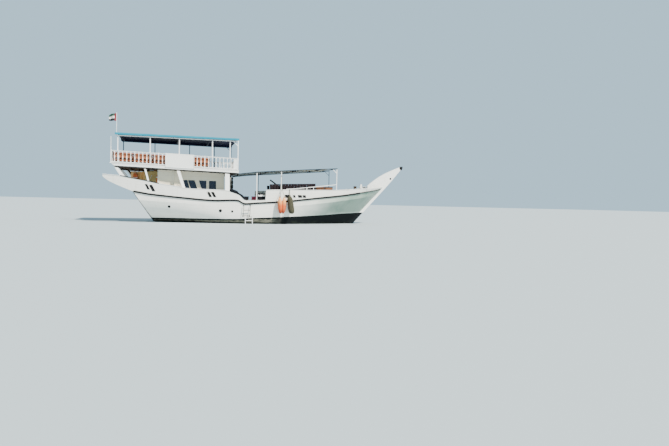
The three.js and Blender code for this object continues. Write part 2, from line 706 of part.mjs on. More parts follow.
// Canopy over the upper deck: x of each post on either side
const canopyPostsStarboard = [-10060, -7960, -6020, -3760, -2520, -1960];
const canopyPostsPort = [-10050, -7800, -5220, -3300, -1960];
const canopyAft = -10250;
const canopyFront = -1890;

function makeCanopySide(posts) {
  const y = (x) => -deckEdge(x) + canopy.postInset;
  const z = canopy.under - canopy.postSize / 2 - seam;
  const [aft, front] = [canopyAft + 90, canopyFront - 30];
  const parts = [rod([aft, y(aft), z], [front, y(front), z], 60)];
  for (const x of posts) {
    parts.push(rod([x, y(x), overDeck(x - canopy.postSize / 2) + seam], [x, y(x), z], canopy.postSize));
  }
  const last = posts[posts.length - 1];
  parts.push(rod([last, y(last), z - 350], [last - 350, y(last - 350), z], 45));
  return join(parts);
}

// Half-length of a bar that fits between two rails that lie apart by a half-width that changes with x
function barReach(halfWidthAt, x, halfBar, halfRail) {
  const slope = (halfWidthAt(x + halfBar) - halfWidthAt(x - halfBar)) / (2 * halfBar);
  return halfWidthAt(x) - Math.abs(slope) * halfBar - halfRail * Math.hypot(1, slope) - seam;
}

function makeCrossBars(bars, ridge) {
  return join([rod(ridge[0], ridge[1], 50), ...bars.map(([from, to]) => rod(from, to, 50))]);
}

function makeCanopyRidge() {
  const z = canopy.under - 25 - seam;
  const bars = [-9950, -8100, -6150, -3900, -2080].map((x) => {
    const y = barReach((at) => deckEdge(at) - canopy.postInset, x, 25, canopy.postSize / 2);
    return [[x, -y, z], [x, y, z]];
  });
  return makeCrossBars(bars, [[-9960, 0, z], [-2070, 0, z]]);
}

function makeCanopyCover() {
  const ring = (x) => {
    const y = deckEdge(x) - canopy.postInset + canopy.overhang;
    const [low, edge] = [canopy.under, canopy.under + canopy.thick];
    return [
      [x, -y, edge], [x, -y, low], [x, y, low], [x, y, edge],
      [x, y * 0.5, edge + canopy.crown * 0.75], [x, 0, edge + canopy.crown], [x, -y * 0.5, edge + canopy.crown * 0.75],
    ];
  };
  return toSolid(loft([ring(canopyAft), ring(canopyFront)]));
}

// Foredeck awning: x of each post on either side
const awningPostsStarboard = [-610, 1180, 5550];
const awningPostsPort = [330, 2270, 6300];
const awningRows = [[-2460, 3530], [-610, 3790], [1180, 3940], [3370, 4130], [6400, 4370]];
const awningAft = -1880;
const awningRailDrop = 34;
const awningHeight = (x) => alongRows(awningRows, x);
const awningStops = [awningAft, -610, 1180, 3370, 5590];
const awningRail = [...awningStops, 6340].map((x) => [x, crestMiddle(x)]);
const awningHalf = (x) => alongRows(awningRail, x);

// Low rail along the bulwark, from a short toe up to the front post: x, height over the bulwark
const foreRailRows = [[1560, 60], [2240, 110], [5540, 450], [6300, 500]];

function foreRailParts(end) {
  const spot = (x, extra = 0) => [x + extra, -crestMiddle(x), crestHeight(x) + alongRows(foreRailRows, x)];
  const stops = [1560, 2240, 3700, 4600, end];
  const parts = stops.slice(1).map((x, k) => rod(spot(stops[k]), spot(x, x === end ? 0 : 8), 40));
  for (const x of [1600, 3140, 3660]) {
    const [, y, z] = spot(x);
    parts.push(rod([x, y, crestHeight(x, 18) + seam], [x, y, z], 36));
  }
  return parts;
}

function makeAwningSide(posts, front) {
  const stops = [...awningStops.filter((x) => x < front), front];
  const parts = [];
  for (let k = 0; k + 1 < stops.length; k += 1) {
    const [a, b] = [stops[k], stops[k + 1]];
    const lap = k + 2 < stops.length ? 8 : 0;
    const spot = (x) => [x, -awningHalf(x), awningHeight(x) - awningRailDrop];
    parts.push(rod(spot(a), spot(b + lap), 50));
  }
  for (const x of posts) {
    const foot = [x, -crestMiddle(x), crestHeight(x, 25) + 2 * seam];
    parts.push(rod(foot, [x, -awningHalf(x), awningHeight(x) - awningRailDrop], 50));
  }
  parts.push(...foreRailParts(posts[posts.length - 1]));
  const last = posts[posts.length - 1];
  const brace = awningHeight(last) - 390;
  const head = last - 350;
  parts.push(rod([last, -awningHalf(last), brace], [head, -awningHalf(head), awningHeight(head) - awningRailDrop], 36));
  return join(parts);
}

function makeAwningRidge() {
  const xs = [-1850, 270, 2400, 4300, 5500];
  const lift = -33.7;
  const parts = [];
  for (let k = 0; k < xs.length; k += 1) {
    const x = xs[k];
    const y = barReach(awningHalf, x, 22, 27);
    const z = awningHeight(x) + lift;
    parts.push(rod([x, -y, z], [x, y, z], 44));
    if (k > 0) parts.push(rod([xs[k - 1], 0, awningHeight(xs[k - 1]) + lift], [x, 0, z], 44));
  }
  return join(parts);
}

function makeAwningCover() {
  const ring = (x) => {
    const y = awningHalf(x) + 60;
    const z = awningHeight(x) - 8;
    return [[x, -y, z + 22], [x, -y, z], [x, y, z], [x, y, z + 22], [x, y * 0.5, z + 60], [x, 0, z + 75], [x, -y * 0.5, z + 60]];
  };
  return toSolid(loft(awningStops.map(ring)));
}

// Seating
function longBox(x0, x1, inset, width, low, high, count = 6) {
  const rings = [];
  for (let k = 0; k <= count; k += 1) {
    const x = x0 + (x1 - x0) * k / count;
    const y = -halfBreadth(x) + plankThickness + inset;
    rings.push([[x, y, deckTop(x) + high], [x, y, deckTop(x) + low], [x, y + width, deckTop(x) + low], [x, y + width, deckTop(x) + high]]);
  }
  return toSolid(loft(rings));
}

const makeForeBench = () => longBox(240, 5350, 40, 480, seam, 400);

// Seat pads on the bench and back pads that stand above the bulwark, as one soft body. The back pads
// start at backStart.
function makeForeCushions(backStart) {
  const [seatStart, end] = [300, 5300];
  const rings = [];
  for (let k = 0; k <= 6; k += 1) {
    const x = backStart + (end - backStart) * k / 6;
    const seat = deckTop(x) + 401;
    const y = -topside(x, seat).y + plankThickness + 40;
    const front = -halfBreadth(x) + plankThickness + 515;
    const top = crestHeight(x) + 400;
    rings.push([
      [x, y, top], [x, y, seat], [x, front, seat], [x, front, seat + 120], [x, y + 120, seat + 120], [x, y + 120, top],
    ]);
  }
  const back = toSolid(loft(rings));
  return backStart > seatStart + 100 ? back.add(longBox(seatStart, backStart + 20, 60, 400, 401, 520, 2)) : back;
}

function upperPad(x0, x1, inset, width, low, high) {
  const ring = (x) => {
    const y = -deckEdge(x) + inset;
    return [[x, y, overDeck(x) + high], [x, y, overDeck(x) + low], [x, y + width, overDeck(x) + low], [x, y + width, overDeck(x) + high]];
  };
  return toSolid(loft([ring(x0), ring(x1)]));
}

const makeUpperCushions = () => upperPad(-10380, -3920, 185, 500, seam, 300)
  .add(upperPad(-10380, -3920, 185, 130, 100, 760));

function makeSamsonPost() {
  const x = 8400;
  const foot = deckTop(x + 80) + seam;
  return join([
    block(x - 80, x + 80, -80, 80, foot, 3230),
    block(x - 60, x + 60, -330, 330, 2860, 2960),
    block(x - 600, x - 480, -60, 60, deckTop(x - 480) + seam, 3060),
    rod([x - 540, 0, 2750], [x, 0, 2750], 60, 8),
  ]);
}

const flagstaff = { x: -10150, y: -deckEdge(-10150) + canopy.postInset + 20, top: 7500, radius: 15 };

function makeFlagstaff() {
  const { x, y, top, radius } = flagstaff;
  const foot = canopy.under + canopy.thick - 40;
  return join([
    rod([x, y, foot], [x, y, top], 2 * radius, 8),
    block(x - 50, x + 50, y - 50, y + 50, foot, foot + 65),
  ]).subtract(makeCanopyCover().translate([0, 0, seam]));
}

function makeFlag() {
  const { x, y, top, radius } = flagstaff;
  return block(x - 490, x - radius - seam, y - 6, y + 6, top - 630, top - 30);
}

// Boarding ladder: an upper section on brackets and a lower one that reaches into the water
const ladder = { aft: -1450, front: -980, top: 1400, middle: 480, low: -300, standOff: 110, shift: 60 };

function makeLadder() {
  const { aft, front, top, middle, low, standOff, shift } = ladder;
  const sideAt = (x, z) => (z > hullTop(x) ? topside(x, z).y : hullSide(x, z));
  const y = -sideAt((aft + front) / 2, top) - standOff;
  const parts = [];
  for (const x of [aft, front]) {
    parts.push(rod([x, y, top], [x - 60, y, middle], 40));
    parts.push(rod([x + shift, y - 45, middle + 60], [x + shift, y - 45, low], 40));
    for (const z of [top - 60, middle + 100]) {
      const xb = x - 60 * (top - z) / (top - middle);
      parts.push(block(xb - 20, xb + 20, y, -sideAt(xb, z + 20) - 1.5, z - 20, z + 20));
    }
  }
  for (const z of [1250, 980, 720]) {
    const slide = 60 * (top - z) / (top - middle);
    parts.push(rod([aft - slide, y, z], [front - slide, y, z], 34));
  }
  parts.push(rod([aft - 75, y - 22, middle + 30], [front + shift + 20, y - 22, middle + 30], 44));
  for (const z of [180, -220]) {
    parts.push(rod([aft + shift, y - 45, z], [front + shift, y - 45, z], 34));
  }
  return join(parts);
}

const fenderProfile = [
  [0, 790], [45, 790], [60, 870], [150, 960], [195, 1200], [190, 1500], [150, 1780], [70, 1960], [30, 2040], [0, 2040],
];

function makeOrangeFenders() {
  const radius = 195;
  const y = -topside(1180, 1700).y - 45 - radius - 3;
  const postX = awningPostsStarboard[1];
  const postY = -crestMiddle(postX) - 25 - seam;
  const knot = [postX + 20, postY - 110, 2600];
  const parts = [1080, 1370].flatMap((x) => [turned(fenderProfile, x, y, 14), rod([x, y, 1990], knot, 24, 6)]);
  parts.push(rod([knot[0], knot[1], 2570], [knot[0], knot[1], 3560], 24, 6));
  parts.push(block(knot[0] - 20, knot[0] + 20, knot[1], postY, 3530, 3570));
  return join(parts);
}

function makeRopeFender() {
  const x = 1880;
  const y = -topside(x, 1700).y - 45 - 175;
  const profile = [[0, 780], [90, 790], [190, 900], [225, 1100], [170, 1500], [135, 1900], [110, 2080], [0, 2090]];
  const crest = -alongRows(crestRows, x, 2);
  const top = crestHeight(x, 15);
  return join([
    turned(profile, x, y, 12), rod([x, y, 2060], [x, crest - 20, top - 60], 26, 6),
    rod([x, crest - 20, top - 80], [x, crest - 20, top + 26], 26, 6),
    block(x - 13, x + 13, crest - 32, crest + 90, top + seam, top + 27),
  ]);
}

function makeStairs() {
  const [footX, headX] = [stairwell.aft + 60, stairwell.front - 6];
  const head = overDeck(headX);
  const parts = [];
  for (const y of [stairwell.low + 20, stairwell.high - 60]) {
    parts.push(sidePlate([
      [footX, deckTop(footX) + seam], [footX + 170, deckTop(footX + 170) + seam], [headX, head - 200],
      [headX, head - 2], [headX - 130, head - 2],
    ], y, y + 40));
  }
  const steps = 9;
  for (let k = 1; k <= steps; k += 1) {
    const t = k / (steps + 1);
    const x = footX + 60 + t * (headX - footX - 120);
    const z = deckTop(footX) + t * (head - deckTop(footX));
    parts.push(block(x - 60, x + 90, stairwell.low + 40, stairwell.high - 40, z - 18, z + 12));
  }
  return join(parts);
}

function makeLifebuoy() {
  const ring = new THREE.TorusGeometry(300, 65, 8, 24);
  ring.rotateY(Math.PI / 2);
  ring.translate(cabin.aft - 65 - seam, -900, 3000);
  return toSolid(ring);
}

function makeGalleyLocker() {
  return sidePlate([
    [-8500, deckTop(-8500) + seam], [-7900, deckTop(-7900) + seam], [-7900, 3720], [-8500, 3720],
  ], 1440, 1900);
}

// Seat along the gangway with three boxes on it: x from, x to, top
const gangBoxRows = [[-1680, -1220, 1930], [-1040, -740, 1930], [-620, -90, 2100]];

function makeGangSeat() {
  const [x0, x1, seat] = [-1680, -60, 1640];
  const base = sidePlate([[x0, deckTop(x0) + seam], [x1, deckTop(x1) + seam], [x1, seat], [x0, seat]], -2600, -2250);
  return join([base, ...gangBoxRows.map(([aft, front, top]) => block(aft, front, -2590, -2260, seat - 10, top))]);
}

const dressing = { roughness: 0.6, metalness: 0 };
const group = new THREE.Group();

function place(name, solid, color, finish = {}) {
  const material = new THREE.MeshStandardMaterial({ color, ...dressing, ...finish });
  const mesh = new THREE.Mesh(toGeometry(solid), material);
  mesh.name = name;
  group.add(mesh);
}

// A piece on each side: the starboard one is drawn, and the port one is its mirror image
function placePair(name, solid, color, finish) {
  place(`${name}_starboard`, solid, color, finish);
  place(`${name}_port`, mirrored(solid), color, finish);
}

place('hull', makeHull(), paint.hull, { roughness: 0.45 });
place('keel_and_sternpost', makeKeel(), paint.underwater);
place('stempost', makeStempost(), paint.white, { roughness: 0.45 });
placePair('bulwark', makeBulwark(), paint.hull, { roughness: 0.45 });
place('transom_board', makeTransomBoard(), paint.hull);
placePair('rub_rail', makeRubRail(), paint.trim);
place('main_deck', makeMainDeck(), paint.deck);
place('rudder', makeRudder(), paint.underwater);
place('propeller', makePropeller(), 0xb08d4a, { metalness: 1, roughness: 0.35 });
place('engine_block', block(-4900, -3000, -420, 420, -450 + seam, 550), paint.metal, { metalness: 0.6 });
place('engine_hatch_cover', makeEngineHatch(), paint.deck);
placePair('cabin_side', makeCabinSide(), paint.cream);
place('cabin_front', makeCabinFront(), paint.white);
place('cabin_aft', makeCabinAft(), paint.cream);
placePair('cabin_glass', makeCabinGlass(), paint.glass, { roughness: 0.1 });
place('cabin_glass_front', makeFrontGlass(), paint.glass, { roughness: 0.1 });
place('cabin_door', makeCabinDoor(), paint.wood);
place('helm_console', makeHelmConsole(), paint.wood);
place('helm_wheel', makeHelmWheel(), paint.wood);
place('upper_deck', makeUpperDeck(), paint.white);
place('deck_pillars_starboard', makePillars(pillarRows), paint.white);
place('deck_pillars_port', mirrored(makePillars(pillarRowsPort)), paint.white);
place('upper_rail_starboard', makeSideRail().add(makeSternStaff()), paint.white);
place('upper_rail_port', mirrored(makeSideRail()), paint.white);
place('upper_rail_aft', makeEndRail(upperDeck.aft + 60, rail.inset + 40), paint.white);
place('upper_rail_front', makeEndRail(upperDeck.front - 60, canopy.postInset + 40), paint.white);
place('sign_board', makeSignBoard(), paint.white);
place('canopy_posts_starboard', makeCanopySide(canopyPostsStarboard), paint.white);
place('canopy_posts_port', mirrored(makeCanopySide(canopyPostsPort)), paint.white);
place('canopy_ridge', makeCanopyRidge(), paint.white);
place('canopy_cover', makeCanopyCover(), paint.canvas, { roughness: 0.9 });
place('awning_posts_starboard', makeAwningSide(awningPostsStarboard, 5590), paint.white);
place('awning_posts_port', mirrored(makeAwningSide(awningPostsPort, 6340)), paint.white);
place('awning_ridge', makeAwningRidge(), paint.white);
place('awning_cover', makeAwningCover(), paint.white, { roughness: 0.9 });
placePair('fore_bench', makeForeBench(), paint.wood);
place('fore_cushions_starboard', makeForeCushions(380), paint.dark, { roughness: 0.95 });
place('fore_cushions_port', mirrored(makeForeCushions(1050)), paint.dark, { roughness: 0.95 });
placePair('upper_cushions', makeUpperCushions(), paint.terracotta, { roughness: 0.95 });
place('samson_post', makeSamsonPost(), paint.white);
place('flagstaff', makeFlagstaff(), paint.white);
place('flag', makeFlag(), 0x1f7a3d, { roughness: 0.95 });
place('boarding_ladder', makeLadder(), paint.white);
place('orange_fenders', makeOrangeFenders(), paint.orange);
place('rope_fender', makeRopeFender(), paint.olive, { roughness: 0.95 });
place('deck_stairs', makeStairs(), paint.wood);
place('lifebuoy', makeLifebuoy(), paint.orange);
place('galley_locker', makeGalleyLocker(), paint.wood);
place('gang_seat', makeGangSeat(), paint.dark);

export default group;
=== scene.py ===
# Motor tour dhow: finishes, cloth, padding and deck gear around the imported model. Metres, +X to the bow,
# +Y to port, +Z up, and the water surface at z = 0.
import math

import bmesh
import bpy
from mathutils import Euler, Matrix, Vector
from mathutils.bvhtree import BVHTree


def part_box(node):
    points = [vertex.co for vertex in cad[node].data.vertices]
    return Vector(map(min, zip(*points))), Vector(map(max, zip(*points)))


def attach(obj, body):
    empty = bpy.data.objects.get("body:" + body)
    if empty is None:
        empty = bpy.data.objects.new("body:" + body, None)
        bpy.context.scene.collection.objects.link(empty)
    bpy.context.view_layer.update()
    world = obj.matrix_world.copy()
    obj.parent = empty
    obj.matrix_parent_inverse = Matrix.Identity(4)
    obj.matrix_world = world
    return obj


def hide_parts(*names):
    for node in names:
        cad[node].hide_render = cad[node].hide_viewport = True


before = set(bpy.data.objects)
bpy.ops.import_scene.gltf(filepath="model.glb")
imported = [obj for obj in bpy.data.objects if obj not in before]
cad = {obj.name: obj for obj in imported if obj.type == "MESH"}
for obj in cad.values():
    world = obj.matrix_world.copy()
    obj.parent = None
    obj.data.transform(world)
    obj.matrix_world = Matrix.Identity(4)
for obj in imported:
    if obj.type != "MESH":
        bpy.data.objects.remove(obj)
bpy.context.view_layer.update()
print("frame loaded:", len(cad), "nodes")

view = {
    "position": (-6.2108, -40.578, 1.6707),
    "heading": 17.0,  # degrees from +Y towards the bow
    "lookDown": 2.22,
    "lean": 1.35,
    "focalPixels": 520.0,
    "imageWidth": 669.0,
    "sensor": 36.0,
}


def makeCamera():
    turn, down, lean = (math.radians(view[key]) for key in ("heading", "lookDown", "lean"))
    forward = Vector((math.sin(turn) * math.cos(down), math.cos(turn) * math.cos(down), -math.sin(down)))
    side = forward.cross(Vector((0, 0, 1))).normalized()
    top = side.cross(forward)
    right = side * math.cos(lean) + top * math.sin(lean)
    up = top * math.cos(lean) - side * math.sin(lean)
    data = bpy.data.cameras.new("camera")
    data.sensor_width = view["sensor"]
    data.lens = view["focalPixels"] / view["imageWidth"] * view["sensor"]
    data.clip_end = 2000
    camera = bpy.data.objects.new("camera", data)
    camera.matrix_world = Matrix((right, up, -forward)).transposed().to_4x4()
    camera.location = view["position"]
    bpy.context.scene.collection.objects.link(camera)
    bpy.context.scene.camera = camera


makeCamera()


# Shader maths: a wrapped socket, so that masks are written as plain expressions
class Wire:
    def __init__(self, finish, socket):
        self.finish = finish
        self.socket = socket

    def maths(self, operation, first, second):
        return self.finish.node("ShaderNodeMath", {"operation": operation}, {0: first, 1: second})

    def __add__(self, other):
        return self.maths("ADD", self, other)

    __radd__ = __add__

    def __mul__(self, other):
        return self.maths("MULTIPLY", self, other)

    __rmul__ = __mul__

    def __sub__(self, other):
        return self.maths("SUBTRACT", self, other)

    def __rsub__(self, other):
        return self.maths("SUBTRACT", other, self)

    def __truediv__(self, other):
        return self.maths("DIVIDE", self, other)

    def __mod__(self, other):
        return self.maths("FLOORED_MODULO", self, other)

    def __abs__(self):
        return self.alone("ABSOLUTE")

    def alone(self, operation):
        return self.finish.node("ShaderNodeMath", {"operation": operation}, {0: self})


noiseRoughness = 0.55


class Finish:
    def __init__(self, name, colour, roughness=0.5, **steady):
        self.material = bpy.data.materials.new(name)
        self.material.use_nodes = True
        self.tree = self.material.node_tree
        self.shader = self.tree.nodes["Principled BSDF"]
        self.shader.inputs["Base Color"].default_value = (*colour, 1)
        self.shader.inputs["Roughness"].default_value = roughness
        for key, value in steady.items():
            self.shader.inputs[key.replace("_", " ")].default_value = value
        self.material.diffuse_color = (*colour, 1)
        self.place = None

    def node(self, kind, settings, inputs, output=0):
        made = self.tree.nodes.new(kind)
        for key, value in settings.items():
            if key == "stops":
                ramp = made.color_ramp.elements
                while len(ramp) < len(value):
                    ramp.new(0.5)
                for element, (position, shade) in zip(ramp, value):
                    element.position = position
                    element.color = shade if len(shade) == 4 else (*shade, 1)
            else:
                setattr(made, key, value)
        for key, value in inputs.items():
            self.join(value, made.inputs[key])
        return Wire(self, made.outputs[output])

    def join(self, value, socket):
        if isinstance(value, Wire):
            self.tree.links.new(value.socket, socket)
        elif hasattr(socket.default_value, "__len__") and len(socket.default_value) == 4:
            socket.default_value = (*value, 1) if len(value) == 3 else value
        else:
            socket.default_value = value

    def where(self):
        if self.place is None:
            self.place = self.node("ShaderNodeTexCoord", {}, {}, "Object")
        return self.place

    def axes(self):
        parts = self.node("ShaderNodeSeparateXYZ", {}, {"Vector": self.where()})
        return [Wire(self, parts.socket.node.outputs[k]) for k in range(3)]

    def noise(self, scale, detail=3, stretch=None):
        source = self.where()
        if stretch:
            source = self.node("ShaderNodeMapping", {}, {"Vector": source, "Scale": stretch})
        return self.node("ShaderNodeTexNoise", {"noise_dimensions": "3D"},
                         {"Vector": source, "Scale": scale, "Detail": detail, "Roughness": noiseRoughness})

    def between(self, value, low, high):
        return self.node("ShaderNodeMapRange", {"interpolation_type": "SMOOTHSTEP"},
                         {"Value": value, "From Min": low, "From Max": high, "To Min": 0.0, "To Max": 1.0})

    def mixed(self, amount, first, second):
        made = self.tree.nodes.new("ShaderNodeMix")
        made.data_type = "RGBA"
        self.join(amount, made.inputs[0])
        self.join(first, made.inputs[6])
        self.join(second, made.inputs[7])
        return Wire(self, made.outputs[2])

    def bump(self, height, depth):
        return self.node("ShaderNodeBump", {}, {"Height": height, "Distance": depth, "Strength": 1.0})

    def set(self, **links):
        for key, value in links.items():
            self.join(value, self.shader.inputs[key.replace("_", " ")])
        return self.material


def darker(colour, share):
    return tuple(channel * share for channel in colour)


# Paint over planks: seams, runs under the rail and a little grime
def paintedPlanks(name, colour, roughness, board, seamDepth, stain):
    finish = Finish(name, colour, roughness, Specular_IOR_Level=0.45)
    wobble = finish.noise(0.7, 2)
    row = (finish.axes()[2] + wobble * 0.05) / board
    seam = finish.between(abs(row % 1.0 - 0.5), 0.46, 0.5)
    runs = finish.between(finish.noise(2.2, 4, (3.2, 3.2, 0.28)), 0.52, 0.75)
    patch = finish.between(finish.noise(0.9, 5), 0.45, 0.75)
    fine = finish.noise(38, 3)
    dirty = tuple(c * s for c, s in zip(colour, (0.78, 0.75, 0.66)))
    shade = finish.mixed(runs * stain, colour, dirty)
    shade = finish.mixed(patch * (stain * 0.5), shade, darker(colour, 0.86))
    shade = finish.mixed(seam * 0.35, shade, darker(colour, 0.55))
    height = fine * 0.12 - seam
    return finish.set(Base_Color=shade, Roughness=0.1 * patch + 0.08 * fine + (roughness - 0.08),
                      Normal=finish.bump(height, seamDepth))


# Height of a line along the boat, from rows of x, z
def lineAlong(finish, rows):
    low, high = rows[0][0], rows[-1][0]
    tallest = max(z for x, z in rows)
    stops = [((x - low) / (high - low), (z / tallest,) * 3) for x, z in rows]
    share = (finish.axes()[0] - low) / (high - low)
    return finish.node("ShaderNodeValToRGB", {"stops": stops}, {"Fac": share}) * tallest


# The hull's paint: white topsides whose bow flank is painted green-grey as shade and sea reflection, over a
# dark bottom with a wavy edge
hullPaint = {
    "white": (0.91, 0.89, 0.82),
    "bow": (0.24, 0.34, 0.27),
    "bottom": (0.004, 0.006, 0.007),
    "scum": (0.16, 0.155, 0.12),
    "weed": (0.045, 0.06, 0.035),
    "runs": (0.64, 0.60, 0.48),
    "algaeAndPaintedReflection": (0.11, 0.23, 0.17),
    "paintedReflection": (0.66, 0.71, 0.64),
    "scuff": (0.42, 0.40, 0.33),
    "seam": (0.36, 0.34, 0.28),
    "edgeRows": [(-10.0, 0.34), (-7.7, 0.33), (-2.8, 0.335), (-1.72, 0.355), (-0.69, 0.45), (1.43, 0.54),
                 (3.64, 0.65), (5.15, 0.74), (6.36, 0.84), (7.45, 0.88), (8.5, 0.93), (9.6, 0.96)],
    "board": 0.19,
    "railRows": [(1.0, 1.55), (1.68, 1.62), (3.35, 1.86), (4.24, 1.96), (5.26, 2.10), (6.51, 2.26),
                 (7.58, 2.44), (8.61, 2.6), (9.87, 2.85)],
}


def makeHullPaint(name):
    own = hullPaint
    white = own["white"]
    finish = Finish(name, white, 0.35, Specular_IOR_Level=0.16)
    x, z = finish.axes()[::2]
    over = z - lineAlong(finish, own["edgeRows"]) + finish.noise(6, 4) * 0.03
    below = finish.between(over, 0.018, 0.008)
    sheer = (z - x * x * 0.0045) / own["board"]
    seam = finish.between(abs((sheer + finish.noise(0.6, 1) * 0.25) % 1.0 - 0.5), 0.47, 0.5)
    runs = finish.between(finish.noise(2.6, 5, (2.6, 2.6, 0.22)), 0.5, 0.78)
    patch = finish.between(finish.noise(0.55, 5), 0.42, 0.66)
    scuff = finish.between(finish.noise(5.5, 6, (1, 1, 2.4)), 0.6, 0.74)
    # Bow flank below the rail: where the painted shade and painted reflection of the water go
    forward = finish.between(x, 1.8, 7.0) * finish.between(z - lineAlong(finish, own["railRows"]), 0.03, 0.0)
    fine = finish.noise(30, 3)
    topsides = finish.mixed(runs * 0.25, white, own["runs"])
    # Green-grey painted shade at the bow, green patches that are partly algae and partly painted reflection,
    # and a pale painted reflection just above the waterline there
    topsides = finish.mixed(forward * 0.9, topsides, own["bow"])
    topsides = finish.mixed(patch * (forward * 0.6 + 0.06), topsides, own["algaeAndPaintedReflection"])
    topsides = finish.mixed(finish.between(over, 0.16, 0.03) * forward * 0.6, topsides, own["paintedReflection"])
    topsides = finish.mixed(scuff * 0.18, topsides, own["scuff"])
    topsides = finish.mixed(seam * 0.3, topsides, own["seam"])
    streak = finish.between(finish.noise(7, 5, (0.5, 0.5, 3.0)), 0.3, 0.6)
    scum = finish.between(over, -0.085, -0.11) * finish.between(z, 0.09, 0.13) * finish.between(x, 1.5, 0.3)
    hue = finish.mixed(scum * streak, own["bottom"], own["scum"])
    growth = finish.between(finish.noise(3.2, 6, (0.6, 0.6, 2.2)), 0.42, 0.7) * finish.between(z, 0.34, 0.0)
    hue = finish.mixed(growth * 0.6, hue, own["weed"])
    shade = finish.mixed(below, topsides, hue)
    height = fine * 0.1 - seam * (1 - below)
    return finish.set(Base_Color=shade, Roughness=0.5 * below + 0.1 * fine + 0.3,
                      Normal=finish.bump(height, 0.004))


# Stem: white, with the bottom's dark paint below the edge and a dark tip
stemPaint = {"white": (0.90, 0.89, 0.84), "edge": 0.93, "tip": 11.86}


def makeStemPaint(name):
    colour, edge, tip = (stemPaint[key] for key in ("white", "edge", "tip"))
    finish = Finish(name, colour, 0.4, Specular_IOR_Level=0.16)
    x, z = finish.axes()[::2]
    worn = finish.between(finish.noise(4, 6, (1, 1, 0.6)), 0.55, 0.8)
    fine = finish.noise(40, 3)
    shade = finish.mixed(worn * 0.35, colour, (0.62, 0.58, 0.48))
    dark = finish.between(z + fine * 0.02, edge + 0.012, edge) + finish.between(x, tip, tip + 0.01)
    shade = finish.mixed(dark, shade, hullPaint["bottom"])
    return finish.set(Base_Color=shade, Roughness=0.15 * worn + 0.35, Normal=finish.bump(fine, 0.002))


# White paint up to a line along the boat, and above it a dark band of painted shade under the deck or awning
def makeWhiteUnderPaintedShade(name, rows, above):
    colour = (0.88, 0.87, 0.83)
    finish = Finish(name, colour, 0.4, Specular_IOR_Level=0.3)
    z = finish.axes()[2]
    worn = finish.between(finish.noise(8, 6), 0.6, 0.75)
    fine = finish.noise(60, 2)
    shade = finish.mixed(worn * 0.25, colour, (0.55, 0.50, 0.42))
    shade = finish.mixed(finish.between(z - lineAlong(finish, rows), -0.004, 0.004), shade, above)
    return finish.set(Base_Color=shade, Roughness=0.2 * worn + 0.36, Normal=finish.bump(fine, 0.001))


def makeGlossPaint(name, colour, roughness=0.35, chips=0.0, rust=(0.28, 0.12, 0.05), shine=0.5):
    finish = Finish(name, colour, roughness, Specular_IOR_Level=shine)
    worn = finish.between(finish.noise(11, 6), 0.66, 0.7)
    cloud = finish.between(finish.noise(1.7, 4), 0.4, 0.75)
    fine = finish.noise(60, 2)
    shade = finish.mixed(cloud * 0.35, colour, darker(colour, 0.82))
    shade = finish.mixed(worn * chips, shade, rust)
    return finish.set(Base_Color=shade, Roughness=0.12 * cloud + (roughness - 0.04) + 0.06 * fine,
                      Normal=finish.bump(fine - worn * 2, 0.0012))


# Sawn planks side by side, run fore and aft, with dark caulking and butt joints
def planked(finish, colour, board):
    x, y = finish.axes()[:2]
    row = y / board
    index = row.alone("FLOOR")
    chance = finish.node("ShaderNodeTexWhiteNoise", {"noise_dimensions": "1D"}, {"W": index})
    seam = finish.between(abs(row % 1.0 - 0.5), 0.455, 0.49)
    butt = finish.between(abs((x / 2.6 + chance * 3.0) % 1.0 - 0.5), 0.4965, 0.499)
    grain = finish.noise(9, 6, (0.7, 16, 6))
    worn = finish.between(finish.noise(1.3, 4), 0.4, 0.75)
    shade = finish.mixed(grain * 0.6, darker(colour, 0.72), tuple(c * 1.25 for c in colour))
    shade = finish.mixed(chance * 0.35, shade, darker(colour, 0.7))
    shade = finish.mixed(worn * 0.45, shade, (0.46, 0.42, 0.35))
    gap = seam.maths("MAXIMUM", seam, butt)
    shade = finish.mixed(gap, shade, darker(colour, 0.09))
    return shade, 0.2 * grain + 0.5, grain * 0.25 - gap


def makeDeckPlanks(name):
    colour = (0.40, 0.32, 0.215)
    finish = Finish(name, colour, 0.62)
    shade, roughness, height = planked(finish, colour, 0.115)
    return finish.set(Base_Color=shade, Roughness=roughness, Normal=finish.bump(height, 0.004))


# Upper deck: planks above, a near-black underside that is painted shade, and white paint round the edge
def makeUpperDeckFinish(name):
    top, underShade, edge = (0.42, 0.35, 0.25), (0.06, 0.035, 0.02), (0.84, 0.83, 0.79)
    finish = Finish(name, edge, 0.42, Specular_IOR_Level=0.1)
    shade, roughness, height = planked(finish, top, 0.12)
    normal = finish.node("ShaderNodeNewGeometry", {}, {}, "Normal")
    upward = finish.node("ShaderNodeSeparateXYZ", {}, {"Vector": normal}, 2)
    above = finish.between(upward, 0.5, 0.6)
    below = finish.between(upward, -0.5, -0.6)
    worn = finish.between(finish.noise(2.4, 5, (1, 3, 3)), 0.5, 0.8)
    side = finish.mixed(worn * 0.3, edge, darker(edge, 0.75))
    hue = finish.mixed(above, finish.mixed(below, side, finish.mixed(worn, underShade, darker(underShade, 1.7))), shade)
    return finish.set(Base_Color=hue, Roughness=roughness * above + 0.45 * below + 0.42 * (1 - above),
                      Normal=finish.bump(height * above, 0.004))


def makeVarnish(name, colour, roughness, coat=0.35):
    finish = Finish(name, colour, roughness, Coat_Weight=coat, Coat_Roughness=0.2, Specular_IOR_Level=coat)
    grain = finish.noise(5, 7, (1.2, 14, 14))
    rings = finish.noise(1.6, 3, (0.4, 5, 5))
    worn = finish.between(finish.noise(4, 5), 0.6, 0.8)
    shade = finish.mixed(grain, darker(colour, 0.6), tuple(min(1, c * 1.45) for c in colour))
    shade = finish.mixed(rings * 0.4, shade, darker(colour, 0.75))
    shade = finish.mixed(worn * 0.4, shade, (0.36, 0.27, 0.18))
    return finish.set(Base_Color=shade, Roughness=0.2 * worn + roughness, Normal=finish.bump(grain, 0.0016))


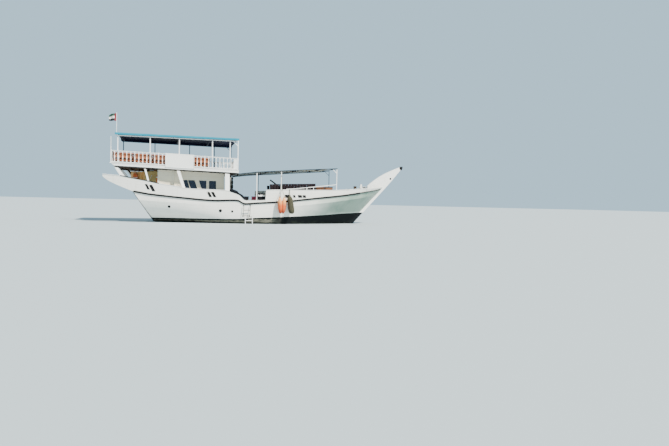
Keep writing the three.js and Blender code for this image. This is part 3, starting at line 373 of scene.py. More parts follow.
# Woven cloth: two sets of threads at right angles, faded by the sun in patches
def makeCloth(name, colour, thread=0.006, fade=0.3, roughness=0.85, sheen=0.25, faded=None):
    finish = Finish(name, colour, roughness, Sheen_Weight=sheen, Sheen_Roughness=0.5, Specular_IOR_Level=0.12)
    x, y, z = finish.axes()
    warp = ((x + z * 0.35) * (math.tau / thread)).alone("SINE")
    weft = ((y + z * 0.65) * (math.tau / thread)).alone("SINE")
    cloud = finish.between(finish.noise(1.8, 5), 0.35, 0.75)
    crease = finish.noise(7, 4)
    pale = faded or tuple(c * 0.7 + 0.12 for c in colour)
    shade = finish.mixed(cloud * fade, colour, pale)
    shade = finish.mixed(crease * 0.35, shade, darker(colour, 0.7))
    height = warp * weft * 0.18 + crease * 1.6
    return finish.set(Base_Color=shade, Roughness=0.1 * cloud + (roughness - 0.05),
                      Normal=finish.bump(height, 0.003))


def makeMetal(name, colour, roughness=0.35, metallic=1.0, tarnish=(0.1, 0.09, 0.07), amount=0.5):
    finish = Finish(name, colour, roughness, Metallic=metallic)
    cloud = finish.between(finish.noise(6, 6), 0.42, 0.72)
    fine = finish.noise(90, 2)
    shade = finish.mixed(cloud * amount, colour, tarnish)
    return finish.set(Base_Color=shade, Roughness=0.25 * cloud + roughness, Normal=finish.bump(fine, 0.0006))


def makeWindowGlass(name):
    finish = Finish(name, (0.012, 0.02, 0.045), 0.06, IOR=1.45, Specular_IOR_Level=0.6)
    smear = finish.between(finish.noise(3, 5, (1, 1, 2.5)), 0.5, 0.85)
    return finish.set(Roughness=0.25 * smear + 0.05, Alpha=0.12 * smear + 0.86)


# Laid rope: strands wound round the line, drawn on the piece's own height
def makeRope(name, colour, strand, lean):
    finish = Finish(name, colour, 0.9)
    x, y, z = finish.axes()
    wave = ((z + (x + y) * lean) * (math.tau / strand)).alone("SINE")
    fuzz = finish.noise(70, 5)
    cloud = finish.noise(4, 4)
    shade = finish.mixed(fuzz, darker(colour, 0.55), tuple(c * 1.35 for c in colour))
    # Grooves between the strands darkened as painted shade
    shade = finish.mixed(finish.between(wave, 0.1, -0.95) * 0.7, shade, darker(colour, 0.3))
    shade = finish.mixed(cloud * 0.4, shade, darker(colour, 0.6))
    return finish.set(Base_Color=shade, Normal=finish.bump(wave * 0.5 + fuzz * 0.5, strand * 0.25))


def makeFender(name):
    finish = Finish(name, (0.85, 0.25, 0.06), 0.45)
    z = finish.axes()[2]
    top, body, low, tip = (0.80, 0.34, 0.11), (0.64, 0.10, 0.012), (0.36, 0.045, 0.008), (0.90, 0.89, 0.85)
    # Paler towards the top as a painted highlight and darker towards the foot as painted shade, over the
    # orange; white tip below
    ragged = z + finish.noise(9, 4) * 0.16 - 0.08
    shade = finish.mixed(finish.between(ragged, 1.3, 1.75), body, top)
    shade = finish.mixed(finish.between(ragged, 1.2, 0.9), shade, low)
    shade = finish.mixed(finish.between(z, 0.8, 0.79), shade, tip)
    grime = finish.between(finish.noise(7, 6, (1, 1, 0.5)), 0.5, 0.75)
    shade = finish.mixed(grime * 0.35, shade, (0.32, 0.16, 0.08))
    return finish.set(Base_Color=shade, Roughness=0.3 * grime + 0.4,
                      Normal=finish.bump(finish.noise(40, 3), 0.002))


finishes = {
    "hull": makeHullPaint("hull_paint"),
    "bulwark": makeHullPaint("bulwark_paint"),
    "transom": paintedPlanks("transom_paint", (0.89, 0.87, 0.81), 0.4, 0.2, 0.003, 0.22),
    "stem": makeStemPaint("stem_paint"),
    # Pillars and awning posts darkened at the top as painted shade under the deck and awning
    "pillar": makeWhiteUnderPaintedShade("pillar_paint", [(-10.6, 3.774), (-1.8, 3.551)], (0.04, 0.025, 0.018)),
    "awningPipe": makeWhiteUnderPaintedShade("awning_pipe_paint",
                              [(-1.95, 3.54), (-0.61, 3.72), (1.18, 3.87), (3.37, 4.06), (5.7, 4.24)],
                              (0.016, 0.024, 0.03)),
    # Navy on the canopy bows and the ridges is painted shade under the cloth
    "navyShadePipe": makeGlossPaint("navy_painted_shade_pipe", (0.010, 0.014, 0.030), 0.6, 0.05, shine=0.1),
    # Slate on the port posts is painted shade; the starboard posts are white
    "slateShadePipe": makeGlossPaint("slate_painted_shade_pipe", (0.045, 0.075, 0.11), 0.6, 0.05, shine=0.1),
    "bottom": makeGlossPaint("bottom_paint", (0.02, 0.022, 0.022), 0.6, 0.3, (0.12, 0.08, 0.05)),
    "trim": makeGlossPaint("black_trim", (0.010, 0.010, 0.011), 0.6, 0.06, (0.3, 0.28, 0.25), 0.12),
    "white": makeGlossPaint("white_gloss", (0.90, 0.89, 0.85), 0.38, 0.1),
    "metalWhite": makeGlossPaint("white_tube_paint", (0.90, 0.90, 0.88), 0.32, 0.2),
    "cabin": paintedPlanks("cabin_paint", (0.84, 0.77, 0.60), 0.5, 0.42, 0.003, 0.3),
    "deck": makeDeckPlanks("deck_planks"),
    "varnish": makeVarnish("varnished_wood", (0.33, 0.16, 0.06), 0.3),
    "tan": makeVarnish("tan_wood", (0.52, 0.30, 0.13), 0.35),
    "canvasTop": makeCloth("canopy_cloth_top", (0.004, 0.17, 0.25), 0.008, 0.3, 0.8, 0.0,
                           (0.010, 0.26, 0.32)),
    # Underside near-black navy: the blue cloth darkened as painted shade
    "canvasUnderShade": makeCloth("canopy_cloth_under_painted_shade", (0.005, 0.006, 0.030), 0.008, 0.2, 0.85, 0.0,
                             (0.012, 0.014, 0.05)),
    "awningTop": makeCloth("awning_cloth_top", (0.62, 0.74, 0.78), 0.008, 0.3, 0.85, 0.0, (0.74, 0.82, 0.84)),
    "awningEdge": makeCloth("awning_edge_cloth", (0.008, 0.012, 0.018), 0.008, 0.2, 0.85, 0.0,
                            (0.02, 0.03, 0.035)),
    "terracotta": makeCloth("terracotta_cloth", (0.50, 0.165, 0.08), 0.006, 0.4, 0.9, 0.15,
                            (0.62, 0.30, 0.17)),
    "darkCloth": makeCloth("dark_cloth", (0.012, 0.008, 0.010), 0.006, 0.3, 0.9, 0.0, (0.03, 0.022, 0.026)),
    "brown": makeCloth("brown_cloth", (0.13, 0.055, 0.028), 0.006, 0.4, 0.9, 0.05, (0.27, 0.14, 0.08)),
    "glass": makeWindowGlass("window_glass"),
    "bronze": makeMetal("propeller_bronze", (0.55, 0.34, 0.12), 0.35),
    "iron": makeMetal("engine_iron", (0.22, 0.24, 0.25), 0.5, 0.6, (0.07, 0.05, 0.04)),
    "steel": makeMetal("bright_steel", (0.62, 0.63, 0.62), 0.28, 0.9, (0.3, 0.26, 0.2), 0.35),
    "dark": makeGlossPaint("dark_paint_and_painted_shade", (0.012, 0.012, 0.013), 0.6, 0.1, shine=0.12),
    "ladderGrey": makeMetal("ladder_grey", (0.13, 0.14, 0.13), 0.5, 0.2, (0.06, 0.06, 0.05)),
    "fender": makeFender("fender_skin_painted_light"),
    "rope": makeRope("fender_rope", (0.075, 0.068, 0.036), 0.075, 1.6),
    "line": makeRope("line_rope", (0.16, 0.15, 0.11), 0.02, 1.0),
    "lifebuoy": makeGlossPaint("lifebuoy_orange", (0.82, 0.17, 0.03), 0.5, 0.1, (0.5, 0.4, 0.35)),
    "upperDeck": makeUpperDeckFinish("upper_deck_paint"),
    "terracottaSeam": makeCloth("terracotta_piping", (0.40, 0.12, 0.06), 0.006, 0.2, 0.8, 0.1,
                                (0.5, 0.2, 0.12)),
    "darkClothSeam": makeCloth("dark_piping", (0.03, 0.02, 0.024), 0.006, 0.1, 0.8, 0.0, (0.05, 0.04, 0.04)),
    "brownSeam": makeCloth("brown_piping", (0.10, 0.04, 0.02), 0.006, 0.2, 0.8, 0.05, (0.2, 0.1, 0.06)),
    "rudder": makeGlossPaint("rudder_paint", (0.03, 0.032, 0.034), 0.55, 0.35, (0.14, 0.09, 0.06)),
    "oarDark": makeVarnish("oar_wood", (0.05, 0.03, 0.02), 0.5),
    # Tan board and canvas under the deck: their own tan pushed brighter and more orange, as painted sunlight
    "plywoodPaintedLight": makeVarnish("plywoodPaintedLight", (0.98, 0.62, 0.28), 0.5, 0.1),
    "tanCanvasPaintedLight": makeCloth("tan_canvas_painted_light", (0.98, 0.56, 0.22), 0.006, 0.4, 0.9, 0.1, (0.98, 0.72, 0.40)),
    "jacket": makeCloth("jacket_cloth", (0.82, 0.20, 0.07), 0.004, 0.25, 0.75, 0.1),
    "curtainDark": makeCloth("curtain_cloth", (0.007, 0.008, 0.012), 0.006, 0.2, 0.85, 0.0,
                             (0.02, 0.022, 0.03)),
    "signWhite": makeGlossPaint("sign_paint", (0.89, 0.88, 0.84), 0.45, 0.1, (0.45, 0.32, 0.2)),
    # Near-black wood: painted shade on the deck beams, the bench frames under the upper pads and the port
    # strut; also the bitts cap
    "darkWoodAndShade": makeVarnish("dark_wood_and_painted_shade", (0.045, 0.028, 0.018), 0.8, 0.05),
    "cabinTrim": makeGlossPaint("cabin_trim_paint", (0.80, 0.76, 0.62), 0.42, 0.15, (0.3, 0.22, 0.14)),
    "boxDark": makeGlossPaint("dark_box", (0.007, 0.007, 0.009), 0.7, 0.03, (0.2, 0.18, 0.16), 0.08),
    "boxRed": makeGlossPaint("maroon_box", (0.085, 0.008, 0.02), 0.6, 0.05, (0.3, 0.2, 0.18), 0.12),
    "flagGreen": makeCloth("flag_green", (0.012, 0.05, 0.03), 0.004, 0.2, 0.8, 0.2),
    "flagWhite": makeCloth("flag_white", (0.62, 0.62, 0.58), 0.004, 0.2, 0.8, 0.2),
    "flagBlack": makeCloth("flag_black", (0.015, 0.015, 0.018), 0.004, 0.2, 0.8, 0.2),
    "flagRed": makeCloth("flag_red", (0.20, 0.02, 0.03), 0.004, 0.2, 0.8, 0.2),
}
print("finishes made:", len(finishes))


# Mesh helpers
def mergedCopy(node):
    bm = bmesh.new()
    bm.from_mesh(cad[node].data)
    bmesh.ops.remove_doubles(bm, verts=bm.verts, dist=5e-5)
    return bm


def sharpen(bm, degrees, crease=False):
    limit = math.radians(degrees)
    layer = bm.edges.layers.float.new("crease_edge") if crease else None
    for edge in bm.edges:
        sharp = len(edge.link_faces) != 2 or edge.calc_face_angle(0) > limit
        edge.smooth = not sharp
        if crease and sharp:
            edge[layer] = 1.0
    for face in bm.faces:
        face.smooth = True


def stored(bm, name="shape"):
    mesh = bpy.data.meshes.new(name)
    bm.to_mesh(mesh)
    bm.free()
    return mesh


def asPiece(bm, name, finish, body="boat", replaces=(), sharp=35, extra=()):
    if sharp is not None:
        sharpen(bm, sharp)
    mesh = stored(bm, name)
    for key in (finish, *extra):
        mesh.materials.append(finishes[key])
    piece = bpy.data.objects.new(name, mesh)
    bpy.context.scene.collection.objects.link(piece)
    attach(piece, body)
    if replaces:
        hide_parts(*replaces)
    return piece


def addModifier(piece, kind, **settings):
    modifier = piece.modifiers.new(kind.lower(), kind)
    for key, value in settings.items():
        setattr(modifier, key, value)
    return modifier


def bevelled(piece, width, segments, degrees=40):
    addModifier(piece, "BEVEL", width=width, segments=segments, limit_method="ANGLE",
                angle_limit=math.radians(degrees), harden_normals=False)


def thickened(piece, thickness, smooth):
    addModifier(piece, "SOLIDIFY", thickness=thickness, offset=0.0)
    if smooth:
        addModifier(piece, "SUBSURF", levels=1, render_levels=1)


# A rounder copy of a solid: its flat pairs become quads, its hard edges stay hard
def refined(node, finish, degrees, levels=2):
    bm = mergedCopy(node)
    bmesh.ops.join_triangles(bm, faces=bm.faces, angle_face_threshold=math.radians(12),
                             angle_shape_threshold=math.radians(60))
    sharpen(bm, degrees, crease=True)
    piece = asPiece(bm, f"{node}_shape", finish, "boat", (node,), None)
    addModifier(piece, "SUBSURF", levels=levels, render_levels=levels)


# A copy whose edges are eased, as planed timber and welded tube are
def eased(node, finish, width, body="boat"):
    bm = mergedCopy(node)
    bmesh.ops.dissolve_limit(bm, angle_limit=math.radians(1), verts=bm.verts, edges=bm.edges)
    bevelled(asPiece(bm, f"{node}_shape", finish, body, (node,), 25), width, 2, 35)


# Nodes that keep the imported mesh
plainFinishes = {
    "main_deck": "deck", "engine_hatch_cover": "deck", "upper_deck": "upperDeck", "flagstaff": "metalWhite",
    "cabin_side_starboard": "cabin", "cabin_side_port": "cabin", "cabin_front": "cabin", "cabin_aft": "cabin",
    "cabin_glass_starboard": "glass", "cabin_glass_port": "glass", "cabin_glass_front": "glass",
    "cabin_door": "varnish", "helm_console": "varnish",
}
for nodeName, finishName in plainFinishes.items():
    for place in cad[nodeName].material_slots:
        place.material = finishes[finishName]

refined("hull", "hull", 26)
for side in ("starboard", "port"):
    refined(f"bulwark_{side}", "bulwark", 26)
    refined(f"rub_rail_{side}", "trim", 40, 1)
refined("stempost", "stem", 20, 1)
print("hull skins made")


# Mesh tools
def stamp(bm, mesh, matrix, finish=None):
    placed = mesh.copy()
    placed.transform(matrix)
    if finish is not None:
        placed.polygons.foreach_set("material_index", [finish] * len(placed.polygons))
    bm.from_mesh(placed)
    bpy.data.meshes.remove(placed)


def painted(verts, finish):
    for vert in verts:
        for face in vert.link_faces:
            face.material_index = finish


def basis(start, end, upright=(0, 0, 1)):
    start, end = Vector(start), Vector(end)
    along = (end - start).normalized()
    upright = Vector(upright)
    if abs(along.dot(upright)) > 0.95:
        upright = Vector((1, 0, 0))
    across = upright.cross(along).normalized()
    matrix = Matrix((along, across, along.cross(across))).transposed().to_4x4()
    matrix.translation = (start + end) / 2
    return matrix


def addBlock(bm, low, high, finish=0):
    low, high = Vector(low), Vector(high)
    made = bmesh.ops.create_cube(bm, size=1.0)["verts"]
    bmesh.ops.scale(bm, vec=high - low, verts=made)
    bmesh.ops.translate(bm, vec=(low + high) / 2, verts=made)
    painted(made, finish)


# A rectangular bar between two points, with one face kept up
def addBar(bm, start, end, width, height=None, finish=0):
    length = (Vector(end) - Vector(start)).length
    made = bmesh.ops.create_cube(bm, size=1.0)["verts"]
    bmesh.ops.scale(bm, vec=(length, width, height or width), verts=made)
    bmesh.ops.transform(bm, matrix=basis(start, end), verts=made)
    painted(made, finish)


def addRod(bm, start, end, radius, sides=12, tip=None, finish=0):
    start, end = Vector(start), Vector(end)
    turn = (end - start).to_track_quat("Z", "Y").to_matrix().to_4x4()
    turn.translation = (start + end) / 2
    made = bmesh.ops.create_cone(bm, cap_ends=True, cap_tris=False, segments=sides, radius1=radius,
                                 radius2=radius if tip is None else tip, depth=(end - start).length,
                                 matrix=turn)
    painted(made["verts"], finish)


# A flat shape given a thickness
def addPlate(bm, corners, shift):
    face = bm.faces.new([bm.verts.new(corner) for corner in corners])
    made = bmesh.ops.extrude_face_region(bm, geom=[face])["geom"]
    moved = [item for item in made if isinstance(item, bmesh.types.BMVert)]
    bmesh.ops.translate(bm, vec=shift, verts=moved)
    bmesh.ops.recalc_face_normals(bm, faces=bm.faces)


# Frames round an opening: the corners run round it, and the frame lies outside them
def addFrame(bm, corners, width, depth, lift=0.0, finish=0):
    corners = [Vector(corner) for corner in corners]
    normal = (corners[1] - corners[0]).cross(corners[2] - corners[1]).normalized()
    count = len(corners)
    loops = []
    for k, corner in enumerate(corners):
        before = (corner - corners[k - 1]).normalized().cross(normal)
        after = (corners[(k + 1) % count] - corner).normalized().cross(normal)
        outward = (before + after) / (1 + before.dot(after)) * width
        loops.append([bm.verts.new(spot) for spot in (
            corner + normal * lift, corner + normal * (lift + depth),
            corner + outward + normal * (lift + depth), corner + outward + normal * lift)])
    for k in range(count):
        here, there = loops[k], loops[(k + 1) % count]
        for a in range(4):
            b = (a + 1) % 4
            face = bm.faces.new((here[a], there[a], there[b], here[b]))
            face.material_index = finish


# A round tube along a path, from a bevelled curve
def addTube(bm, path, radius, closed=False, roundness=3, finish=0):
    curve = bpy.data.curves.new("path", "CURVE")
    curve.dimensions = "3D"
    spline = curve.splines.new("POLY")
    spline.points.add(len(path) - 1)
    for point, place in zip(spline.points, path):
        point.co = (*place, 1)
    spline.use_cyclic_u = closed
    curve.bevel_depth = radius
    curve.bevel_resolution = roundness
    curve.use_fill_caps = not closed
    holder = bpy.data.objects.new("path", curve)
    mesh = bpy.data.meshes.new_from_object(holder)
    stamp(bm, mesh, Matrix.Identity(4), finish)
    bpy.data.objects.remove(holder)
    bpy.data.curves.remove(curve)
    bpy.data.meshes.remove(mesh)


def bentPath(marks, steps=8):
    marks = [Vector(mark) for mark in marks]
    ends = [marks[0] * 2 - marks[1], *marks, marks[-1] * 2 - marks[-2]]
    path = []
    for a, b, c, d in zip(ends, ends[1:], ends[2:], ends[3:]):
        for k in range(steps):
            t = k / steps
            path.append(((2 * b) + (c - a) * t + (2 * a - 5 * b + 4 * c - d) * t * t
                         + (3 * b - a - 3 * c + d) * t ** 3) * 0.5)
    return [*path, marks[-1]]


# A form turned about Z; the profile holds radius, height
def turnedMesh(profile, steps=16, closed=False):
    bm = bmesh.new()
    verts = [bm.verts.new((radius, 0, height)) for radius, height in profile]
    pairs = list(zip(verts, verts[1:] + verts[:1] if closed else verts[1:]))
    edges = [bm.edges.new(pair) for pair in pairs]
    bmesh.ops.spin(bm, geom=verts + edges, cent=(0, 0, 0), axis=(0, 0, 1), angle=math.tau, steps=steps,
                   use_merge=True)
    bmesh.ops.remove_doubles(bm, verts=bm.verts, dist=1e-5)
    bmesh.ops.recalc_face_normals(bm, faces=bm.faces)
    return stored(bm)


def ringMesh(radius, thick, steps=32, sides=12):
    turns = [k * math.tau / sides for k in range(sides)]
    return turnedMesh([(radius + thick * math.cos(t), thick * math.sin(t)) for t in turns], steps, True)


def at(place, turn=(0, 0, 0), size=(1, 1, 1)):
    return Matrix.LocRotScale(Vector(place), Euler(turn), Vector(size))


def facing(place, normal, size=1.0):
    turn = Vector(normal).to_track_quat("Z", "Y")
    return Matrix.LocRotScale(Vector(place), turn, Vector((size, size, size)))


def mirrorAll(bm):
    made = bmesh.ops.duplicate(bm, geom=bm.verts[:] + bm.edges[:] + bm.faces[:])["geom"]
    verts = [item for item in made if isinstance(item, bmesh.types.BMVert)]
    faces = [item for item in made if isinstance(item, bmesh.types.BMFace)]
    bmesh.ops.scale(bm, vec=(1, -1, 1), verts=verts)
    bmesh.ops.reverse_faces(bm, faces=faces)


def along(rows, x, column=1):
    if x <= rows[0][0]:
        return rows[0][column]
    for a, b in zip(rows, rows[1:]):
        if x <= b[0]:
            return a[column] + (x - a[0]) / (b[0] - a[0]) * (b[column] - a[column])
    return rows[-1][column]


# Stations of a long CAD node: x, least y, most y, least z, most z
def stations(node):
    groups = {}
    for vertex in cad[node].data.vertices:
        groups.setdefault(round(vertex.co.x, 2), []).append(vertex.co)
    rows = []
    for x in sorted(groups):
        spots = groups[x]
        ys, zs = [spot.y for spot in spots], [spot.z for spot in spots]
        rows.append((x, min(ys), max(ys), min(zs), max(zs)))
    return rows


def treeOf(*nodes):
    bm = bmesh.new()
    for node in nodes:
        bm.from_mesh(cad[node].data)
    tree = BVHTree.FromBMesh(bm)
    bm.free()
    return tree


hullTree = treeOf("hull", "bulwark_starboard", "stempost")
deckTree = treeOf("main_deck")


# Where the starboard side lies at a place along and up the hull, and which way it faces
def onSide(x, z):
    return hullTree.ray_cast(Vector((x, -6, z)), Vector((0, 1, 0)))[:2]


def insideWall(x, z):
    return hullTree.ray_cast(Vector((x, -0.3, z)), Vector((0, -1, 0)))[0].y


def deckAt(x, y=0.6):
    return deckTree.ray_cast(Vector((x, y, 6)), Vector((0, 0, -1)))[0].z


# A flat grid one metre square, with its area taken later from its bent faces
def gridOf(columns, rows):
    bm = bmesh.new()
    bmesh.ops.create_grid(bm, x_segments=columns, y_segments=rows, size=0.5)
    return bm


def areaOf(bm):
    return sum(face.calc_area() for face in bm.faces)


# The top edge of the starboard bulwark: x, middle y, z, width
def findCrest():
    bm = mergedCopy("bulwark_starboard")
    tree = BVHTree.FromBMesh(bm)
    groups = {}
    for face in bm.faces:
        middle = face.calc_center_median()
        if face.normal.z < 0.5 or tree.ray_cast(middle + Vector((0, 0, 0.01)), Vector((0, 0, 1)))[0]:
            continue
        for vert in face.verts:
            groups.setdefault(round(vert.co.x, 3), []).append(vert.co.copy())
    bm.free()
    rows = []
    for x in sorted(groups):
        ys = [spot.y for spot in groups[x]]
        rows.append((x, (min(ys) + max(ys)) / 2, max(spot.z for spot in groups[x]), max(ys) - min(ys)))
    return rows


crest = findCrest()


# Padding: each kind is blown up once by a cloth simulation and then set down in rows
padKinds = {
    "upperSeat": {"size": (1.27, 0.49, 0.12), "spacing": 0.05, "cap": 0.03},
    "upperBack": {"size": (1.27, 0.115, 0.45), "spacing": 0.05, "cap": 0.03},
    "foreSeat": {"size": (0.69, 0.42, 0.11), "spacing": 0.055, "cap": 0.025},
    "foreBack": {"size": (0.69, 0.11, 0.52), "spacing": 0.055, "cap": 0.025},
    "foreRib": {"size": (0.2, 0.1, 0.6), "spacing": 0.05, "cap": 0.02},
    "vest": {"size": (0.16, 0.055, 0.44), "spacing": 0.03, "cap": 0.012},
}
padCloth = {
    "quality": 4, "mass": 0.4, "tension_stiffness": 25, "compression_stiffness": 25, "use_pressure": True,
    "uniform_pressure_force": 5.0,
}
padFrames = 20
piping = {"radius": 0.008, "roundness": 1}


def griddedBox(size, spacing):
    bm = bmesh.new()
    bmesh.ops.create_cube(bm, size=1.0)
    for axis in range(3):
        parts = max(2, round(size[axis] / spacing))
        for k in range(1, parts):
            place, normal = Vector(), Vector()
            place[axis], normal[axis] = k / parts - 0.5, 1
            bmesh.ops.bisect_plane(bm, geom=bm.verts[:] + bm.edges[:] + bm.faces[:], plane_co=place,
                                   plane_no=normal)
    bmesh.ops.scale(bm, vec=size, verts=bm.verts)
    return bm


# Rim points of a pad's two faces: the seams that carry the piping
def seamRims(verts, size):
    flat = 2 if size[2] <= size[1] else 1
    other = 3 - flat
    rims = {}
    for vert in verts:
        onFace = abs(abs(vert.co[flat]) - size[flat] / 2) < 1e-4
        onRim = abs(abs(vert.co[0]) - size[0] / 2) < 1e-4 or abs(abs(vert.co[other]) - size[other] / 2) < 1e-4
        if onFace and onRim:
            rim = rims.setdefault(vert.co[flat] > 0, [])
            rim.append((math.atan2(vert.co[other], vert.co[0]), vert.index))
    return [[pair[1] for pair in sorted(rim)] for rim in rims.values()]


def makePads():
    scene = bpy.context.scene
    waiting = {}
    for kind, own in padKinds.items():
        bm = griddedBox(own["size"], own["spacing"])
        bm.verts.index_update()
        rims = seamRims(bm.verts, own["size"])
        crease = bm.edges.layers.float.new("crease_edge")
        onRim = {index for rim in rims for index in rim}
        for edge in bm.edges:
            if {vert.index for vert in edge.verts} <= onRim and edge.calc_face_angle(0) > 1:
                edge[crease] = 1.0
        pad = bpy.data.objects.new(f"pad_{kind}", stored(bm))
        scene.collection.objects.link(pad)
        waiting[kind] = (pad, rims)
        cloth = addModifier(pad, "CLOTH")
        for key, value in padCloth.items():
            setattr(cloth.settings, key, value)
        cloth.settings.effector_weights.gravity = 0
        cloth.collision_settings.use_collision = False
    for frameNumber in range(1, padFrames + 1):
        scene.frame_set(frameNumber)
    shapes = {}
    for kind, (pad, rims) in waiting.items():
        own = padKinds[kind]
        blown = bpy.data.meshes.new_from_object(pad.evaluated_get(bpy.context.evaluated_depsgraph_get()))
        floor = -own["size"][2] / 2
        for vert, rest in zip(blown.vertices, pad.data.vertices):
            move = vert.co - rest.co
            if move.length > own["cap"]:
                move = move.normalized() * own["cap"]
            vert.co = rest.co + move
            vert.co.z = max(vert.co.z, floor)
        pad.modifiers.clear()
        pad.data = blown
        addModifier(pad, "SUBSURF", levels=1, render_levels=1)
        smooth = bpy.data.meshes.new_from_object(pad.evaluated_get(bpy.context.evaluated_depsgraph_get()))
        bm = bmesh.new()
        bm.from_mesh(smooth)
        for rim in rims:
            addTube(bm, [blown.vertices[index].co for index in rim], piping["radius"], True,
                    piping["roundness"], 1)
        for face in bm.faces:
            face.smooth = True
        bmesh.ops.translate(bm, vec=(0, 0, -floor), verts=bm.verts)
        shapes[kind] = stored(bm, kind)
        bpy.data.objects.remove(pad)
    scene.frame_set(1)
    return shapes


pads = makePads()
print("pads blown up:", ", ".join(f"{kind} {len(mesh.polygons)}" for kind, mesh in pads.items()))


def padRow(name, kind, places, finish, replaces=()):
    bm = bmesh.new()
    for place in places:
        stamp(bm, pads[kind], place)
    piece = asPiece(bm, name, finish, replaces=replaces, sharp=60, extra=(f"{finish}Seam",))
    return piece


# Upper deck lines, from its own solid
upper = {"aft": -10.56, "front": -1.9, "slope": -0.0253, "overAtAft": 4.0726, "thick": 0.205}
upperRows = [(row[0], row[2]) for row in stations("upper_deck") if row[2] > 1.9]


def upperHalf(x):
    return along(upperRows, x)


def overDeck(x):
    return upper["overAtAft"] + upper["slope"] * (x - upper["aft"])


def underDeck(x):
    return overDeck(x) - upper["thick"]


# Turned rails round the upper deck
railShape = {
    "height": 0.85, "bar": 0.06, "foot": 0.06, "footBar": 0.06, "pitch": 0.262, "newel": 0.075, "inset": 0.05,
    "newelEvery": 12, "post": 0.03, "postCap": 0.037, "steps": 14,
    "profile": [(0, 0), (0.032, 0), (0.034, 0.02), (0.034, 0.1), (0.03, 0.12), (0.019, 0.135), (0.019, 0.16),
                (0.027, 0.175), (0.019, 0.19), (0.026, 0.24), (0.036, 0.32), (0.038, 0.38), (0.034, 0.46),
                (0.024, 0.56), (0.018, 0.66), (0.018, 0.72), (0.027, 0.735), (0.027, 0.75), (0.018, 0.765),
                (0.022, 0.8), (0.03, 0.84), (0.034, 0.87), (0.034, 0.98), (0.032, 1), (0, 1)],
}
baluster = turnedMesh(railShape["profile"], railShape["steps"])


def makeRail(name, start, end, replaced, panel=None, staff=None):
    own = railShape
    bm = bmesh.new()
    (x0, y0), (x1, y1) = start, end
    length = math.hypot(x1 - x0, y1 - y0)

    def spot(share, height):
        x = x0 + share * (x1 - x0)
        return Vector((x, y0 + share * (y1 - y0), overDeck(x) + height))

    hand = own["height"] - own["bar"] / 2
    low, high = own["foot"] + own["footBar"] / 2, own["height"] - own["bar"]
    count = round(length / own["pitch"])
    for k in range(count + 1):
        share = min(1 - own["newel"] / 2 / length, max(own["newel"] / 2 / length, k / count))
        x = x0 + share * (x1 - x0)
        if k % own["newelEvery"] == 0 or k == count:
            foot = spot(share, 0.001)
            for half, start, end in ((own["post"], 0, 0.012 + own["height"]),
                                     (own["postCap"], own["height"] + 0.012, own["height"] + 0.03)):
                addBlock(bm, foot + Vector((-half, -half, start)), foot + Vector((half, half, end)))
        elif not (panel and panel[0] < x < panel[1]):
            stamp(bm, baluster, at(spot(share, low), size=(1, 1, high - low)))
    addBar(bm, spot(0, own["foot"]), spot(1, own["foot"]), 0.05, own["footBar"])
    addBar(bm, spot(0, hand - 0.008), spot(1, hand - 0.008), 0.05, own["bar"] - 0.016)
    addBar(bm, spot(0, hand + 0.022), spot(1, hand + 0.022), 0.078, 0.018)
    if panel:
        shares = [(x - x0) / (x1 - x0) for x in panel]
        middle = (low + high) / 2
        addBar(bm, spot(shares[0], middle), spot(shares[1], middle), 0.02, high - low)
    if staff:
        addRod(bm, staff[0], staff[1], 0.017, 14)
        for height in (0.25, 0.78):
            addBlock(bm, staff[0] + Vector((-0.028, -0.028, height)),
                     staff[0] + Vector((0.028, 0.028, height + 0.04)))
    bevelled(asPiece(bm, name, "white", replaces=(replaced,), sharp=45), 0.005, 1, 60)


def makeUpperRails():
    own = railShape
    aft, front = upper["aft"] + 0.04, upper["front"] - 0.04
    yAft, yFront = upperHalf(aft) - own["inset"], upperHalf(front) - own["inset"]
    staffX = upper["aft"] + 0.065
    staffY = -upperHalf(staffX) + own["inset"]
    staff = [Vector((staffX, staffY, overDeck(staffX) + 0.2)), Vector((staffX, staffY, 5.86))]
    makeRail("rail_starboard", (aft, -yAft), (front, -yFront), "upper_rail_starboard", (-2.27, -1.94), staff)
    makeRail("rail_port", (aft, yAft), (front, yFront), "upper_rail_port")
    for name, x, inset in (("aft", upper["aft"] + 0.06, 0.09), ("front", upper["front"] - 0.06, 0.162)):
        half = upperHalf(x) - inset
        makeRail(f"rail_{name}", (x, -half), (x, half), f"upper_rail_{name}")


makeUpperRails()
print("turned rails made")


# Benches and pads along both sides of the upper deck
upperSeat = {"start": -10.38, "end": -3.92, "count": 5, "inset": 0.185, "seatDepth": 0.5, "base": 0.17,
             "back": 0.31}


